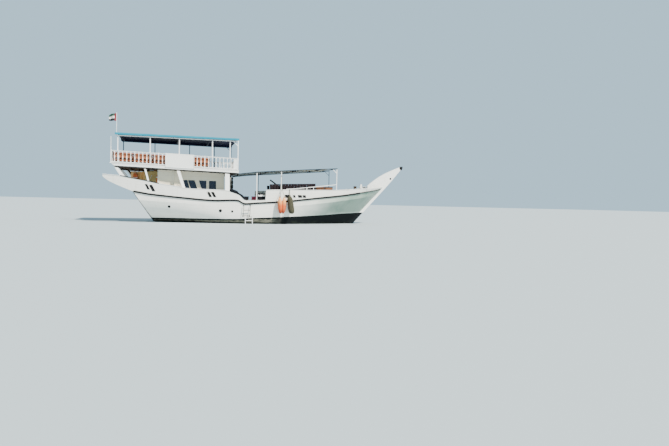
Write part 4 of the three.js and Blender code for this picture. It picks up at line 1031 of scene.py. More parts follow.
def makeUpperSeats():
    own = upperSeat
    length = (own["end"] - own["start"]) / own["count"]
    for side, sign in (("starboard", -1), ("port", 1)):
        seats, backs = [], []
        bench = bmesh.new()
        for k in range(own["count"]):
            a, b = own["start"] + k * length, own["start"] + (k + 1) * length

            def line(x, inset, height):
                return Vector((x, sign * (upperHalf(x) - inset), overDeck(x) + height))

            seatInset = own["inset"] + own["seatDepth"] / 2 + 0.005
            seats.append(basis(line(a, seatInset, own["base"] + 0.001),
                               line(b, seatInset, own["base"] + 0.001)))
            backs.append(basis(line(a, own["inset"] + 0.062, own["back"]),
                               line(b, own["inset"] + 0.062, own["back"])))
            front = own["inset"] + own["seatDepth"] - 0.03
            addBar(bench, line(a, front, own["base"] / 2), line(b, front, own["base"] / 2), 0.022,
                   own["base"])
            addBar(bench, line(a, seatInset, own["base"] - 0.012), line(b, seatInset, own["base"] - 0.012),
                   0.42, 0.022)
            for x in (a + 0.05, (a + b) / 2, b - 0.05):
                addBar(bench, line(x, own["inset"] + 0.03, own["base"] / 2 - 0.012),
                       line(x, front - 0.012, own["base"] / 2 - 0.012), 0.03, own["base"] - 0.024)
            for height in (0.36, 0.66):
                addBar(bench, line(a, own["inset"] - 0.016, height), line(b, own["inset"] - 0.016, height),
                       0.02, 0.05)
            for x in (a + 0.1, b - 0.1):
                addBar(bench, line(x, own["inset"] - 0.034, 0.001), line(x, own["inset"] - 0.034, 0.7), 0.016,
                       0.05)
        # Bench frames near-black, as painted shade under the pads
        bevelled(asPiece(bench, f"upper_bench_{side}", "darkWoodAndShade"), 0.003, 1)
        replaced = (f"upper_cushions_{side}",)
        padRow(f"upper_seat_pads_{side}", "upperSeat", seats, "terracotta",
               replaces=replaced)
        padRow(f"upper_back_pads_{side}", "upperBack", backs, "terracotta",
               replaces=replaced)


makeUpperSeats()


# Seat pads and back pads in two tiers on the foredeck
foreSeat = {"inset": 0.06, "lower": 0.53, "upper": 0.6, "rise": 0.03, "climb": 0.022, "ribs": 3,
            "pitch": 0.703, "brownFrom": 3.5, "brownDrop": 0.64, "portDoor": (0.32, 1.04)}


def makeForeSeats():
    own = foreSeat
    rows = stations("fore_cushions_starboard")
    first, last = rows[0][0], rows[-1][0]
    for side, sign, start in (("starboard", -1, first), ("port", 1, own["portDoor"][1] + 0.01)):
        count = round((last - start) / own["pitch"])
        length = (last - start) / count
        spans = [(start + k * length + 0.004, start + (k + 1) * length - 0.004) for k in range(count)]
        seats, backs, ribs, brown = [], [], [], []

        def pad(a, b, inset, level):
            ends = [Vector((x, -sign * (along(rows, x) + inset), level(x))) for x in (a, b)]
            return basis(*ends)

        def seatTop(x):
            return along(rows, x, 3) + 0.001

        def crown(x):
            return along(rows, x, 4) + own["rise"] + own["climb"] * (x - first)

        for a, b in spans:
            seats.append(pad(a, b, own["inset"] + 0.27, seatTop))
            if a > own["brownFrom"]:
                for tier in (0, own["lower"]):
                    brown.append(pad(a, b, own["inset"],
                                     lambda x: along(rows, x, 4) - own["brownDrop"] - tier))
                continue
            backs.append(pad(a, b, own["inset"], lambda x: crown(x) - own["upper"] - own["lower"]))
            wide = (b - a) / own["ribs"]
            for k in range(own["ribs"]):
                ribs.append(pad(a + k * wide, a + (k + 1) * wide, own["inset"],
                                lambda x: crown(x) - own["upper"]))
        if side == "port":
            seats.append(pad(*own["portDoor"], own["inset"] + 0.27, seatTop))
        replaced = (f"fore_cushions_{side}",)
        padRow(f"fore_seat_pads_{side}", "foreSeat", seats, "darkCloth", replaces=replaced)
        padRow(f"fore_back_pads_{side}", "foreBack", backs, "darkCloth", replaces=replaced)
        padRow(f"fore_rib_pads_{side}", "foreRib", ribs, "darkCloth", replaces=replaced)
        padRow(f"fore_brown_pads_{side}", "foreBack", brown, "brown", replaces=replaced)


makeForeSeats()
print("seating made")


# Canopy: one crowned cloth with a side valance, on bowed battens
canopyCloth = {
    "barsAt": [-10.25, -8.1, -6.15, -3.9, -2.08, -1.89], "edge": 6.135, "hem": 5.985, "crown": 0.05,
    "sag": 0.014, "fold": 0.94, "ripple": 0.007, "across": 40, "lengthwise": 110, "thick": 0.004,
}
canopyRows = [(row[0], row[2]) for row in stations("canopy_cover")]


def clothPiece(bm, name, top, replaced, thick, extra):
    area = areaOf(bm)
    piece = asPiece(bm, name, top, replaces=replaced, sharp=70, extra=extra)
    addModifier(piece, "SOLIDIFY", thickness=thick, offset=-1.0, material_offset=1, material_offset_rim=0,
                use_even_offset=True)
    return piece, area


def makeCanopy():
    own = canopyCloth
    aft, front = canopyRows[0][0], canopyRows[-1][0]
    bm = gridOf(own["lengthwise"], own["across"])
    bars = own["barsAt"]
    for vert in bm.verts:
        share, t = vert.co.x + 0.5, vert.co.y * 2
        x = aft + 0.004 + share * (front - aft - 0.008)
        half = along(canopyRows, x) - 0.004
        a, b = next(pair for pair in zip(bars, bars[1:]) if x <= pair[1] + 1e-4)
        sag = own["sag"] * math.sin(math.pi * (x - a) / (b - a)) ** 2 if b - a > 0.5 else 0
        level = min(1, abs(t) / own["fold"])
        y = math.copysign(level * half, t)
        z = own["edge"] + own["crown"] * (1 - level ** 2.2) - sag * (0.4 + 0.6 * (1 - level ** 2))
        z += 0.0018 * math.sin(x * 9 + y * 3) * math.sin(y * 7 - x * 2)
        if abs(t) > own["fold"]:
            drop = (abs(t) - own["fold"]) / (1 - own["fold"])
            z = own["edge"] - sag * 0.4 - drop * (own["edge"] - own["hem"])
            y += math.copysign(-own["ripple"] * drop * (1 + math.sin(x * 11 + math.sin(x * 3.1) * 2)), t)
        vert.co = (x, y, z)
    # The underside takes the dark cloth, painted shade under the canopy
    piece, area = clothPiece(bm, "canopy_cloth", "canvasTop", ("canopy_cover",),
                             own["thick"], ("canvasUnderShade",))
    width = 2 * (along(canopyRows, front) + own["edge"] - own["hem"]) + 0.02
    front - aft
    # Bows in navy, as painted shade under the canopy
    bows = bmesh.new()
    for x in bars[:-1]:
        x = max(x, aft + 0.3)
        half = along(canopyRows, x) - 0.13
        path = []
        for k in range(17):
            y = half * (k / 8 - 1)
            level = abs(y) / (half + 0.13)
            path.append((x, y, own["edge"] + own["crown"] * (1 - level ** 2.2) - 0.03))
        path = [(x, -half - 0.03, own["hem"]), *path, (x, half + 0.03, own["hem"])]
        addTube(bows, path, 0.014)
    asPiece(bows, "canopy_bows", "navyShadePipe")


makeCanopy()


# Foredeck awning: pale above and below, with a dark band along its hem, over its pipe frame
awningCloth = {"crown": 0.062, "skirt": 0.055, "fold": 0.95, "sag": 0.016, "across": 32,
               "lengthwise": 96, "bars": [-1.88, 0.27, 2.4, 4.3, 5.5, 5.6], "thick": 0.004}


def makeAwning():
    own = awningCloth
    rows = [(row[0], row[2], row[3]) for row in stations("awning_cover")]
    aft, front = rows[0][0], rows[-1][0]
    bm = gridOf(own["lengthwise"], own["across"])
    for vert in bm.verts:
        share, t = vert.co.x + 0.5, vert.co.y * 2
        x = aft + 0.004 + share * (front - aft - 0.008)
        half, low = along(rows, x) - 0.004, along(rows, x, 2)
        a, b = next(pair for pair in zip(own["bars"], own["bars"][1:]) if x <= pair[1] + 1e-4)
        sag = own["sag"] * math.sin(math.pi * (x - a) / (b - a)) ** 2
        level = min(1, abs(t) / own["fold"])
        y = math.copysign(level * half, t)
        z = low + 0.01 + own["crown"] * (1 - level ** 2) - sag * (1 - level ** 6)
        z += 0.0016 * math.sin(x * 7 + y * 4) * math.sin(y * 6 - x * 3)
        if abs(t) > own["fold"]:
            drop = (abs(t) - own["fold"]) / (1 - own["fold"])
            z -= drop * own["skirt"]
            y -= math.copysign(0.008 * drop * (1 + math.sin(x * 9 + math.sin(x * 2.3) * 2)), t)
        vert.co = (x, y, z)
    for face in bm.faces:
        if abs(face.calc_center_median().z - along(rows, face.calc_center_median().x, 2) + 0.02) < 0.025:
            face.material_index = 2
    piece, area = clothPiece(bm, "awning_cloth", "awningTop", ("awning_cover",),
                             own["thick"], ("awningTop", "awningEdge"))
    widest = max(row[1] for row in rows)
    length = math.hypot(front - aft, rows[-1][2] - rows[0][2])
    2 * (widest + own["skirt"]) + 0.03


makeAwning()


# Flag flying aft from its staff: three stripes and a red hoist
flagCloth = {"hoist": 0.56, "fly": 0.475, "top": 7.46, "lengthwise": 24, "across": 12, "redColumns": 6,
             "droop": 0.17, "narrow": 0.16, "wave": 0.05}


def makeFlag():
    own = flagCloth
    low, high = (Vector(corner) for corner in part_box("flag"))
    hoistX, y0 = high.x - 0.002, (low.y + high.y) / 2
    bm = gridOf(own["lengthwise"], own["across"])
    for face in bm.faces:
        middle = face.calc_center_median()
        stripe = min(2, int((0.5 - middle.y) * 3))
        face.material_index = 3 if middle.x + 0.5 < own["redColumns"] / own["lengthwise"] else stripe
    for vert in bm.verts:
        u, v = vert.co.x + 0.5, 0.5 - vert.co.y
        height = own["hoist"] - own["narrow"] * u
        wave = own["wave"] * u ** 0.6 * math.sin(u * 9 + v * 1.6)
        vert.co = (hoistX - own["fly"] * (u - 0.03 * math.sin(u * 9) ** 2), y0 + wave,
                   own["top"] - own["droop"] * u ** 1.4 - v * height - 0.02 * math.sin(u * 7 + v * 3) * u)
    bmesh.ops.reverse_faces(bm, faces=bm.faces)
    area = areaOf(bm)
    piece = asPiece(bm, "flag_cloth", "flagGreen", replaces=("flag",), sharp=80,
                    extra=("flagWhite", "flagBlack", "flagRed"))
    thickened(piece, 0.0012, True)


makeFlag()
print("cloth made")


# Cap along the bulwark: dark over the quarter, as a painted shadow line, and dark down the step, white
# elsewhere
capShape = {"wide": 0.105, "thick": {"dark": 0.055, "white": 0.03}, "shadowLineAft": (-9.9, -7.35),
            "darkStep": (-2.52, -1.28), "end": 8.85}


def makeCaps():
    own = capShape
    marks = [row[:3] for row in crest if row[0] < own["end"]]
    gap = [k for k in range(len(marks) - 1) if marks[k + 1][2] - marks[k][2] > 0.4][0]
    runs = [marks[: gap + 1], marks[gap + 1:]]
    pieces = {"dark": bmesh.new(), "white": bmesh.new()}
    spans = [own["shadowLineAft"], own["darkStep"]]
    for rows in runs:
        cuts = sorted({rows[0][0], rows[-1][0],
                       *(c for span in spans for c in span if rows[0][0] < c < rows[-1][0])})
        for start, end in zip(cuts, cuts[1:]):
            kind = "dark" if any(low <= start and end <= high for low, high in spans) else "white"
            xs = [start, *(row[0] for row in rows if start < row[0] < end), end]
            tall = own["thick"][kind] / 2
            path = [Vector((x, along(rows, x), along(rows, x, 2) + tall + 0.001)) for x in xs]
            half = own["wide"] / 2
            bm = pieces[kind]
            ring = None
            for spot in path:
                corners = [bm.verts.new(spot + Vector((0, dy, dz))) for dy, dz in (
                    (-half, -tall), (half, -tall), (half, tall), (-half, tall))]
                edges = [bm.edges.new((corners[k], corners[k - 1])) for k in range(4)]
                if ring is None:
                    bm.faces.new(corners)
                else:
                    bmesh.ops.bridge_loops(bm, edges=ring + edges)
                ring = edges
            bm.faces.new(corners)
    for kind, bm in pieces.items():
        bmesh.ops.recalc_face_normals(bm, faces=bm.faces)
        mirrorAll(bm)
        finish, slot = ("trim", "trim_dark") if kind == "dark" else ("white", "hull_white")
        bevelled(asPiece(bm, f"cap_{kind}", finish), 0.008, 2)


makeCaps()


# Black plates in the freeing slots, as painted shade for the openings, and rims round them: x, z, width,
# height, slant
slots = {
    "rows": [(-8.12, 2.48, 0.12, 0.33, 0.16), (-7.80, 2.40, 0.17, 0.40, 0.20),
             (-3.95, 2.06, 0.15, 0.33, 0.17), (-3.65, 2.06, 0.15, 0.33, 0.17),
             (1.70, 2.07, 0.38, 0.18, 0.06), (2.18, 2.08, 0.13, 0.14, 0.04), (2.62, 2.09, 0.26, 0.16, 0.05),
             (2.96, 2.09, 0.20, 0.15, 0.05)],
    "lap": 0.012, "depth": 0.004, "thick": 0.02, "rim": 0.022,
}


def makeSlotPlates():
    bm = bmesh.new()
    for x, z, width, height, slant in slots["rows"]:
        lap = slots["lap"]
        rings = {"plate": [], "rim": []}
        for side, up in ((-1, 1), (-1, -1), (1, -1), (1, 1)):
            for kind, more in (("plate", lap), ("rim", 0)):
                px = x + side * (width / 2 + more) - up * (slant / 2) * (1 + 2 * more / height)
                pz = z + up * (height / 2 + more)
                beside = onSide(px + side * (0.03 - more), pz)[0]
                rings[kind].append(Vector((px, beside.y + (slots["depth"] if more else 0), pz)))
        addPlate(bm, rings["plate"], (0, slots["thick"], 0))
        addFrame(bm, rings["rim"], slots["rim"], 0.016, -0.006)
    mirrorAll(bm)
    asPiece(bm, "slot_shade_plates", "dark")


makeSlotPlates()


# Portholes and the hawse hole: x, z, size
portholes = {"rows": [(-6.66, 1.135, 0.085), (-3.16, 0.92, 0.095), (-2.335, 0.885, 0.07)],
             "hawse": (10.97, 3.79, 0.075)}


def makePortholes():
    ring = ringMesh(1.0, 0.16, 28, 8)
    disc = turnedMesh([(0, -0.25), (0.98, -0.25), (0.98, 0.04), (0, 0.04)], 28)
    bm = bmesh.new()
    for x, z, size in [*portholes["rows"], portholes["hawse"]]:
        spot, normal = onSide(x, z)
        stamp(bm, ring, facing(spot, normal, size), 0)
        # The dark disc is the glass in a porthole, and painted shade inside the hawse hole
        stamp(bm, disc, facing(spot, normal, size), 1)
    mirrorAll(bm)
    asPiece(bm, "portholes", "trim", extra=("dark",), sharp=40)


makePortholes()


# Window frames and trim on the cabin: x of the top corners, then of the foot corners
windows = {
    "rows": [(-5.90, -4.94, -5.74, -4.72), (-4.65, -4.11, -4.44, -4.10), (-3.93, -3.42, -3.93, -3.42)],
    "low": 2.43, "high": 3.06, "frame": 0.05, "proud": 0.022,
    "front": (-1.5, 0.35, 2.33, 3.06),
}
cabinShape = {
    "aft": -7.45, "front": -2.85, "half": 1.75, "skirtKnee": -5.0, "skirt": 0.13, "stripAt": -6.42,
    "door": (0.47, 1.24), "doorHigh": 1.9, "aftDoor": 0.44, "cornerPost": (1.66, 1.74), "trimHalf": 0.012,
}


def makeCabinTrim():
    own = windows
    bm = bmesh.new()
    y = -cabinShape["half"] - own["proud"] / 2 + 0.001
    for topAft, topFront, footAft, footFront in own["rows"]:
        corners = [(topAft, own["high"]), (footAft, own["low"]), (footFront, own["low"]),
                   (topFront, own["high"])]
        addFrame(bm, [(x, -cabinShape["half"], z) for x, z in corners], own["frame"], own["proud"], -0.001)
        addBar(bm, (topAft - 0.05, y - 0.018, own["high"] + 0.06),
               (topFront + 0.05, y - 0.018, own["high"] + 0.06), 0.05, 0.025)
    topAft, topFront, footAft, footFront = own["rows"][0]
    addBar(bm, ((topAft + topFront) / 2, y + 0.02, own["high"]),
           ((footAft + footFront) / 2, y + 0.02, own["low"]), 0.03, 0.035)
    aft, front = cabinShape["aft"], cabinShape["front"]
    for x in (aft + 0.03, front - 0.03):
        addBar(bm, (x, y, deckAt(x) + 0.002), (x, y, underDeck(x) - 0.002), own["proud"], 0.09)
    addBar(bm, (aft, y, underDeck(aft) - 0.06), (front, y, underDeck(front) - 0.06), own["proud"], 0.1)
    knee = cabinShape["skirtKnee"]
    for a, b in ((aft, knee), (knee, front)):
        addBar(bm, (a, y, deckAt(a) + 0.07), (b, y, deckAt(b) + 0.07), own["proud"], cabinShape["skirt"])
    x = cabinShape["stripAt"]
    addBar(bm, (x, y, deckAt(x) + 0.14), (x, y, underDeck(x) - 0.11), own["proud"] * 0.7, 0.06)
    mirrorAll(bm)

    def trimBlock(x, y0, y1, low, high):
        half = cabinShape["trimHalf"]
        addBlock(bm, (x - half, y0, low), (x + half, y1, high))

    x = front + 0.011
    y0, y1, low, high = own["front"]
    for z in (low - 0.025, high + 0.025):
        trimBlock(x, y0 - 0.05, y1 + 0.05, z - 0.025, z + 0.025)
    for y in (y0 - 0.025, (y0 + y1) / 2, y1 + 0.025):
        trimBlock(x, y - 0.02, y + 0.02, low, high)
    sill, tall = deckAt(front - 0.05), cabinShape["doorHigh"]
    doorStart, doorEnd = cabinShape["door"]
    trimBlock(x, doorStart, doorStart + 0.075, sill + 0.003, sill + tall)
    trimBlock(x, doorStart, doorEnd, sill + tall - 0.04, sill + tall + 0.03)
    inner, outer = cabinShape["cornerPost"]
    for y0, y1 in ((-outer, -inner), (inner, outer)):
        trimBlock(x, y0, y1, sill + 0.003, underDeck(front) - 0.01)
    x = aft - 0.011
    sill, half = deckAt(aft - 0.02), cabinShape["aftDoor"]
    for y in (-half, half):
        trimBlock(x, y - 0.04, y + 0.04, sill + 0.003, sill + tall)
    trimBlock(x, -half - 0.04, half + 0.04, sill + tall - 0.04, sill + tall + 0.04)
    bevelled(asPiece(bm, "cabin_trim", "cabinTrim"), 0.004, 1)


makeCabinTrim()


# Blank sign board: frame, rivets and back battens
signFrame = {"bottom": 3.88, "top": 4.86, "edge": 0.03, "thick": 0.014, "faceOut": 0.0244, "rivets": 9,
             "rivetInset": 0.06, "battenInset": 0.35, "battenBack": 0.034}


def makeSignFrame():
    own = signFrame
    low, high = (Vector(corner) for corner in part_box("sign_board"))
    aft, front = low.x, high.x
    bottom, top, edge, thick = (own[key] for key in ("bottom", "top", "edge", "thick"))
    bm = bmesh.new()

    def face(x, z, out=0.006):
        return Vector((x, -upperHalf(x) - own["faceOut"] - out, z + upper["slope"] * (x - aft)))

    for z in (top - edge, bottom + edge):
        addBar(bm, face(aft, z), face(front, z), thick, edge * 2)
    for x in (aft + edge, front - edge):
        addBar(bm, face(x, bottom + edge), face(x, top - edge), edge * 2, thick)
    rivet = turnedMesh([(0, 0.006), (0.007, 0.004), (0.01, 0)], 10)
    for k in range(own["rivets"]):
        x = aft + own["rivetInset"] + k * (front - aft - 2 * own["rivetInset"]) / (own["rivets"] - 1)
        for z in (bottom + edge, top - edge):
            stamp(bm, rivet, facing(face(x, z, 0.013), (0, -1, 0)))
    for x in (aft + own["battenInset"], front - own["battenInset"]):
        addBar(bm, face(x, bottom + 0.1, -own["battenBack"]), face(x, top - 0.08, -own["battenBack"]), 0.05,
               0.018)
    bevelled(asPiece(bm, "sign_frame", "white"), 0.003, 1)


makeSignFrame()
print("cabin and sign trim made")


# Beams and mouldings under and round the upper deck
deckFrame = {"beamWidth": 0.07, "beamDepth": 0.085, "first": -10.0, "pitch": 0.62, "moulding": 0.016,
             "signGap": (-6.99, -4.98), "stairsX": (-8.62, -7.54), "stairsY": (0.66, 1.45)}


def makeDeckBeams():
    own = deckFrame
    bm = bmesh.new()
    aft, front = cabinShape["aft"] - 0.06, cabinShape["front"] + 0.08
    wall = cabinShape["half"] + 0.025
    x = own["first"]
    while x < upper["front"] - 0.1:
        half = upperHalf(x) - 0.14
        z = underDeck(x) - own["beamDepth"] / 2 - 0.001
        if aft < x < front:
            spans = ((-half, -wall), (half, wall))
        elif own["stairsX"][0] < x < own["stairsX"][1]:
            spans = ((-half, own["stairsY"][0]), (own["stairsY"][1], half))
        else:
            spans = ((-half, half),)
        for start, end in spans:
            addBar(bm, (x, start, z), (x, end, z), own["beamWidth"], own["beamDepth"])
        x += own["pitch"]
    # Beams near-black, as painted shade under the deck
    bevelled(asPiece(bm, "deck_beams", "darkWoodAndShade"), 0.006, 1)
    bm = bmesh.new()
    r = own["moulding"]
    for drop, start in ((0.02, upper["aft"]), (upper["thick"] - 0.03, -10.24)):
        for aft, front in ((start, own["signGap"][0]), (own["signGap"][1], upper["front"])):
            a, b = ((x, -upperHalf(x) - r * 0.3, overDeck(x) - drop) for x in (aft, front))
            addTube(bm, [a, b], r)
            addTube(bm, [(a[0], -a[1], a[2]), (b[0], -b[1], b[2])], r)
    asPiece(bm, "deck_mouldings", "white")


makeDeckBeams()


# Frames up the inside of the bulwark, where nothing stands against them
bulwarkFrames = {"at": [-9.6, -9.05, -8.55, -7.2, -6.6, -5.4, -4.8, -4.2, -3.35, -2.35, 5.7, 6.35, 7.0],
                 "wide": 0.06, "deep": 0.05}


def makeFrames():
    own = bulwarkFrames
    bm = bmesh.new()
    for x in own["at"]:
        top = along(crest, x, 2) - 0.06
        foot = deckAt(x) + 0.02 if x > -8.5 else top - 0.55
        low, high = insideWall(x, foot + 0.06), insideWall(x, top - 0.02)
        inset = own["deep"] / 2 + 0.002
        addBar(bm, (x, low + inset, foot), (x, high + inset, top), own["wide"], own["deep"])
    mirrorAll(bm)
    bevelled(asPiece(bm, "bulwark_frames", "white"), 0.006, 1)


makeFrames()


# Half-round mouldings along both edges of the rub rail
rubMoulding = {"aft": -9.0, "front": 7.7, "steps": 110, "radius": 0.018, "inset": 0.022, "lift": 0.01}


def makeRubMouldings():
    own = rubMoulding
    outer = [row for row in stations("rub_rail_starboard") if row[2] - row[1] > 0.02]
    rail = treeOf("rub_rail_starboard")
    bm = bmesh.new()
    for way in (-1, 1):
        path = []
        for k in range(own["steps"] + 1):
            x = own["aft"] + k * (own["front"] - own["aft"]) / own["steps"]
            y = along(outer, x) + own["inset"]
            spot = rail.ray_cast(Vector((x, y, 1 + way * 5)), Vector((0, 0, -way)))[0]
            if spot:
                path.append((x, y, spot.z + way * own["lift"]))
        addTube(bm, path, own["radius"])
    mirrorAll(bm)
    asPiece(bm, "rub_rail_mouldings", "trim")


makeRubMouldings()


# Raked boards at the quarters: x, z of the corners, and a strut to port, near-black as painted shade
quarter = {"corners": [(-10.36, 3.90), (-9.94, 3.245), (-9.60, 3.175), (-10.12, 3.846)], "y": -2.0,
           "thick": 0.05, "strut": [(-9.78, 2.02, 3.84), (-9.16, 2.09, 3.12)], "strutWide": 0.16}


def makeQuarters():
    own = quarter
    bm = bmesh.new()
    addPlate(bm, [(x, own["y"], z) for x, z in own["corners"]], (0, own["thick"], 0))
    mirrorAll(bm)
    bevelled(asPiece(bm, "quarter_boards", "white"), 0.008, 2)
    bm = bmesh.new()
    addBar(bm, *own["strut"], 0.07, own["strutWide"])
    bevelled(asPiece(bm, "quarter_strut", "darkWoodAndShade"), 0.01, 2)


makeQuarters()


# Fenders over the side
fenders = {
    "orangeAt": [(1.07, -0.07), (1.34, 0.07)], "radius": 0.195, "middle": 1.4, "knot": (1.2, 2.6),
    "hangFrom": 3.55,
    "profile": [(0, 0.6), (0.03, 0.602), (0.042, 0.62), (0.042, 0.75), (0.055, 0.8), (0.09, 0.85),
                (0.122, 0.93), (0.148, 1.04), (0.162, 1.16), (0.167, 1.29), (0.166, 1.43), (0.158, 1.56),
                (0.142, 1.69), (0.12, 1.8), (0.09, 1.89), (0.06, 1.955), (0.045, 1.975), (0.045, 2.01),
                (0.03, 2.032), (0, 2.036)],
    "ropeAt": 1.88, "strands": 9, "twist": 26, "strandDeep": 0.02, "lean": 0.13,
    "ropeProfile": [(0, 0.785), (0.06, 0.79), (0.13, 0.815), (0.18, 0.86), (0.21, 0.93), (0.228, 1.02),
                    (0.23, 1.12), (0.226, 1.24), (0.222, 1.37), (0.216, 1.5), (0.208, 1.64), (0.196, 1.78),
                    (0.178, 1.9), (0.145, 1.99), (0.1, 2.05), (0.05, 2.085), (0, 2.09)],
}


def makeOrangeFenders():
    low, high = (Vector(corner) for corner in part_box("orange_fenders"))
    body = turnedMesh(fenders["profile"], 32)
    eye = ringMesh(0.03, 0.011, 16, 8)
    bm = bmesh.new()
    y = low.y + fenders["radius"]
    knot = Vector((fenders["knot"][0], high.y - 0.145, fenders["knot"][1]))
    hook = Vector((knot.x, high.y - 0.1, fenders["hangFrom"]))
    for x, tilt in fenders["orangeAt"]:
        middle = Vector((x, y, fenders["middle"]))
        placed = Matrix.Translation(middle) @ Matrix.Rotation(tilt, 4, "Y") @ at((0, 0, -fenders["middle"]))
        stamp(bm, body, placed, 0)
        stamp(bm, eye, placed @ at((0, 0, 2.05), (math.pi / 2, 0, tilt)), 1)
        for turn in range(4):
            stamp(bm, ringMesh(0.049, 0.009, 20, 6), placed @ at((0, 0, 1.972 + turn * 0.012)), 1)
        head = placed @ Vector((0, 0, 2.06))
        addTube(bm, bentPath([head, head + Vector(((knot.x - head.x) * 0.3, 0.03, 0.16)), knot]), 0.014,
                finish=1)
    addTube(bm, [knot - Vector((0, 0, 0.03)), knot + Vector((0, 0.05, 0.5)), hook], 0.014, finish=1)
    stamp(bm, ringMesh(0.016, 0.012, 14, 6), at(knot), 1)
    stamp(bm, ringMesh(0.018, 0.011, 14, 6), at(knot - Vector((0, 0, 0.022))), 1)
    for turn in range(3):
        place = at((*awningPostAt, fenders["hangFrom"] + (turn - 1) * 0.02))
        stamp(bm, ringMesh(0.036, 0.01, 18, 6), place, 1)
    addTube(bm, [hook, (awningPostAt[0], awningPostAt[1] - 0.036, hook.z)], 0.011, finish=1)
    asPiece(bm, "orange_fender_pair", "fender", replaces=("orange_fenders",),
            extra=("line",), sharp=50)


def makeRopeFender():
    x, y = fenders["ropeAt"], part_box("rope_fender")[0][1] + 0.235
    bm = bmesh.new()
    stamp(bm, turnedMesh(fenders["ropeProfile"], 72), Matrix.Identity(4))
    upright = [e for e in bm.edges if abs(e.verts[0].co.z - e.verts[1].co.z) > 0.02]
    bmesh.ops.subdivide_edges(bm, edges=upright, cuts=3, use_grid_fill=False)
    for vert in bm.verts:
        radius = math.hypot(vert.co.x, vert.co.y)
        if radius < 0.03:
            continue
        turn = math.atan2(vert.co.y, vert.co.x)
        around, climb, deep = turn * fenders["strands"], vert.co.z * fenders["twist"], fenders["strandDeep"]
        left = abs(math.sin((around + climb) / 2)) ** 0.6
        right = abs(math.sin((around - climb) / 2)) ** 0.6
        scale = (radius - deep + deep * max(left, right) - 0.006 * min(left, right)) / radius
        vert.co.x *= scale
        vert.co.y *= scale
    for vert in bm.verts:
        vert.co.x += (1.45 - vert.co.z) * fenders["lean"]
    bmesh.ops.translate(bm, vec=(x, y, 0), verts=bm.verts)
    x -= 0.6 * fenders["lean"]
    top = along(crest, x, 2)
    edge = along(crest, x) - along(crest, x, 3) / 2
    for shift in (-0.014, 0.014):
        path = bentPath([(x + shift, y, 2.05), (x + shift, y + 0.06, 2.2),
                         (x + shift, edge - 0.026, top - 0.12), (x + shift, edge - 0.022, top + 0.02),
                         (x + shift, edge + 0.02, top + 0.046), (x + shift, edge + 0.09, top + 0.044),
                         (x + shift, edge + 0.11, top - 0.05)])
        addTube(bm, path, 0.012, finish=1)
    for turn in range(4):
        stamp(bm, ringMesh(0.06, 0.014, 20, 6),
              at((x, y, 2.06 + turn * 0.02), size=(1 - turn * 0.13, 1 - turn * 0.13, 1)), 1)
    asPiece(bm, "rope_fender_body", "rope", replaces=("rope_fender",), extra=("line",),
            sharp=80)


awningPostAt = (1.18, along(crest, 1.18))
makeOrangeFenders()
makeRopeFender()


# Boarding ladder: a grey upper part on the side and a white lower part that reaches into the water
ladder = {"aft": -1.525, "front": -1.06, "top": 1.4, "middle": 0.48, "slide": 0.045, "tube": 0.02,
          "rung": 0.019, "rungs": [0.99, 0.62], "lowAft": -1.416, "lowFront": -0.912, "low": -0.3,
          "lowRungs": [0.25, -0.15]}


def makeLadder():
    own = ladder
    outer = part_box("boarding_ladder")[0][1] + 0.02
    inner = outer + 0.045
    bm = bmesh.new()
    cap = turnedMesh([(0, 0.02), (0.014, 0.016), (0.02, 0)], 12)

    def shift(z):
        return own["slide"] * (own["top"] - z) / (own["top"] - own["middle"])

    for x in (own["aft"], own["front"]):
        top = (x, inner, own["top"] - 0.03)
        addTube(bm, [top, (x - own["slide"], inner, own["middle"])], own["tube"])
        stamp(bm, cap, at(top), 0)
        for z in (own["top"] - 0.06, own["middle"] + 0.1):
            px = x - shift(z)
            wall = onSide(px, z)[0].y
            addTube(bm, [(px, inner, z), (px, wall - 0.004, z)], 0.015)
            addBlock(bm, (px - 0.035, wall - 0.009, z - 0.05), (px + 0.035, wall - 0.001, z + 0.05))
    for z in own["rungs"]:
        addRod(bm, (own["aft"] - shift(z), inner, z), (own["front"] - shift(z), inner, z), own["rung"])
    addRod(bm, (own["aft"] - 0.075, inner - 0.022, own["middle"] + 0.03),
           (own["lowFront"] + 0.03, inner - 0.022, own["middle"] + 0.03), own["rung"])
    for x in (own["lowAft"], own["lowFront"]):
        addTube(bm, [(x, outer, own["middle"] + 0.06), (x, outer, own["low"])], own["tube"] + 0.004, finish=1)
    for z in own["lowRungs"]:
        addRod(bm, (own["lowAft"], outer, z), (own["lowFront"], outer, z), own["rung"], finish=1)
    asPiece(bm, "ladder_tubes", "ladderGrey", replaces=("boarding_ladder",), sharp=50,
            extra=("metalWhite",))


makeLadder()


# Boxes on the gangway seat: x from, x to, top, lid height, pale band height, finish
gangBoxes = {"rows": [(-1.44, -1.14, 1.99, 0.07, 0, 0), (-0.92, -0.59, 2.0, 0.07, 0, 1),
                      (-0.48, 0.03, 2.245, 0.1, 0.13, 0)],
             "seat": 1.64, "aft": -1.68, "front": 0.03, "outer": -2.59, "inner": -2.26}


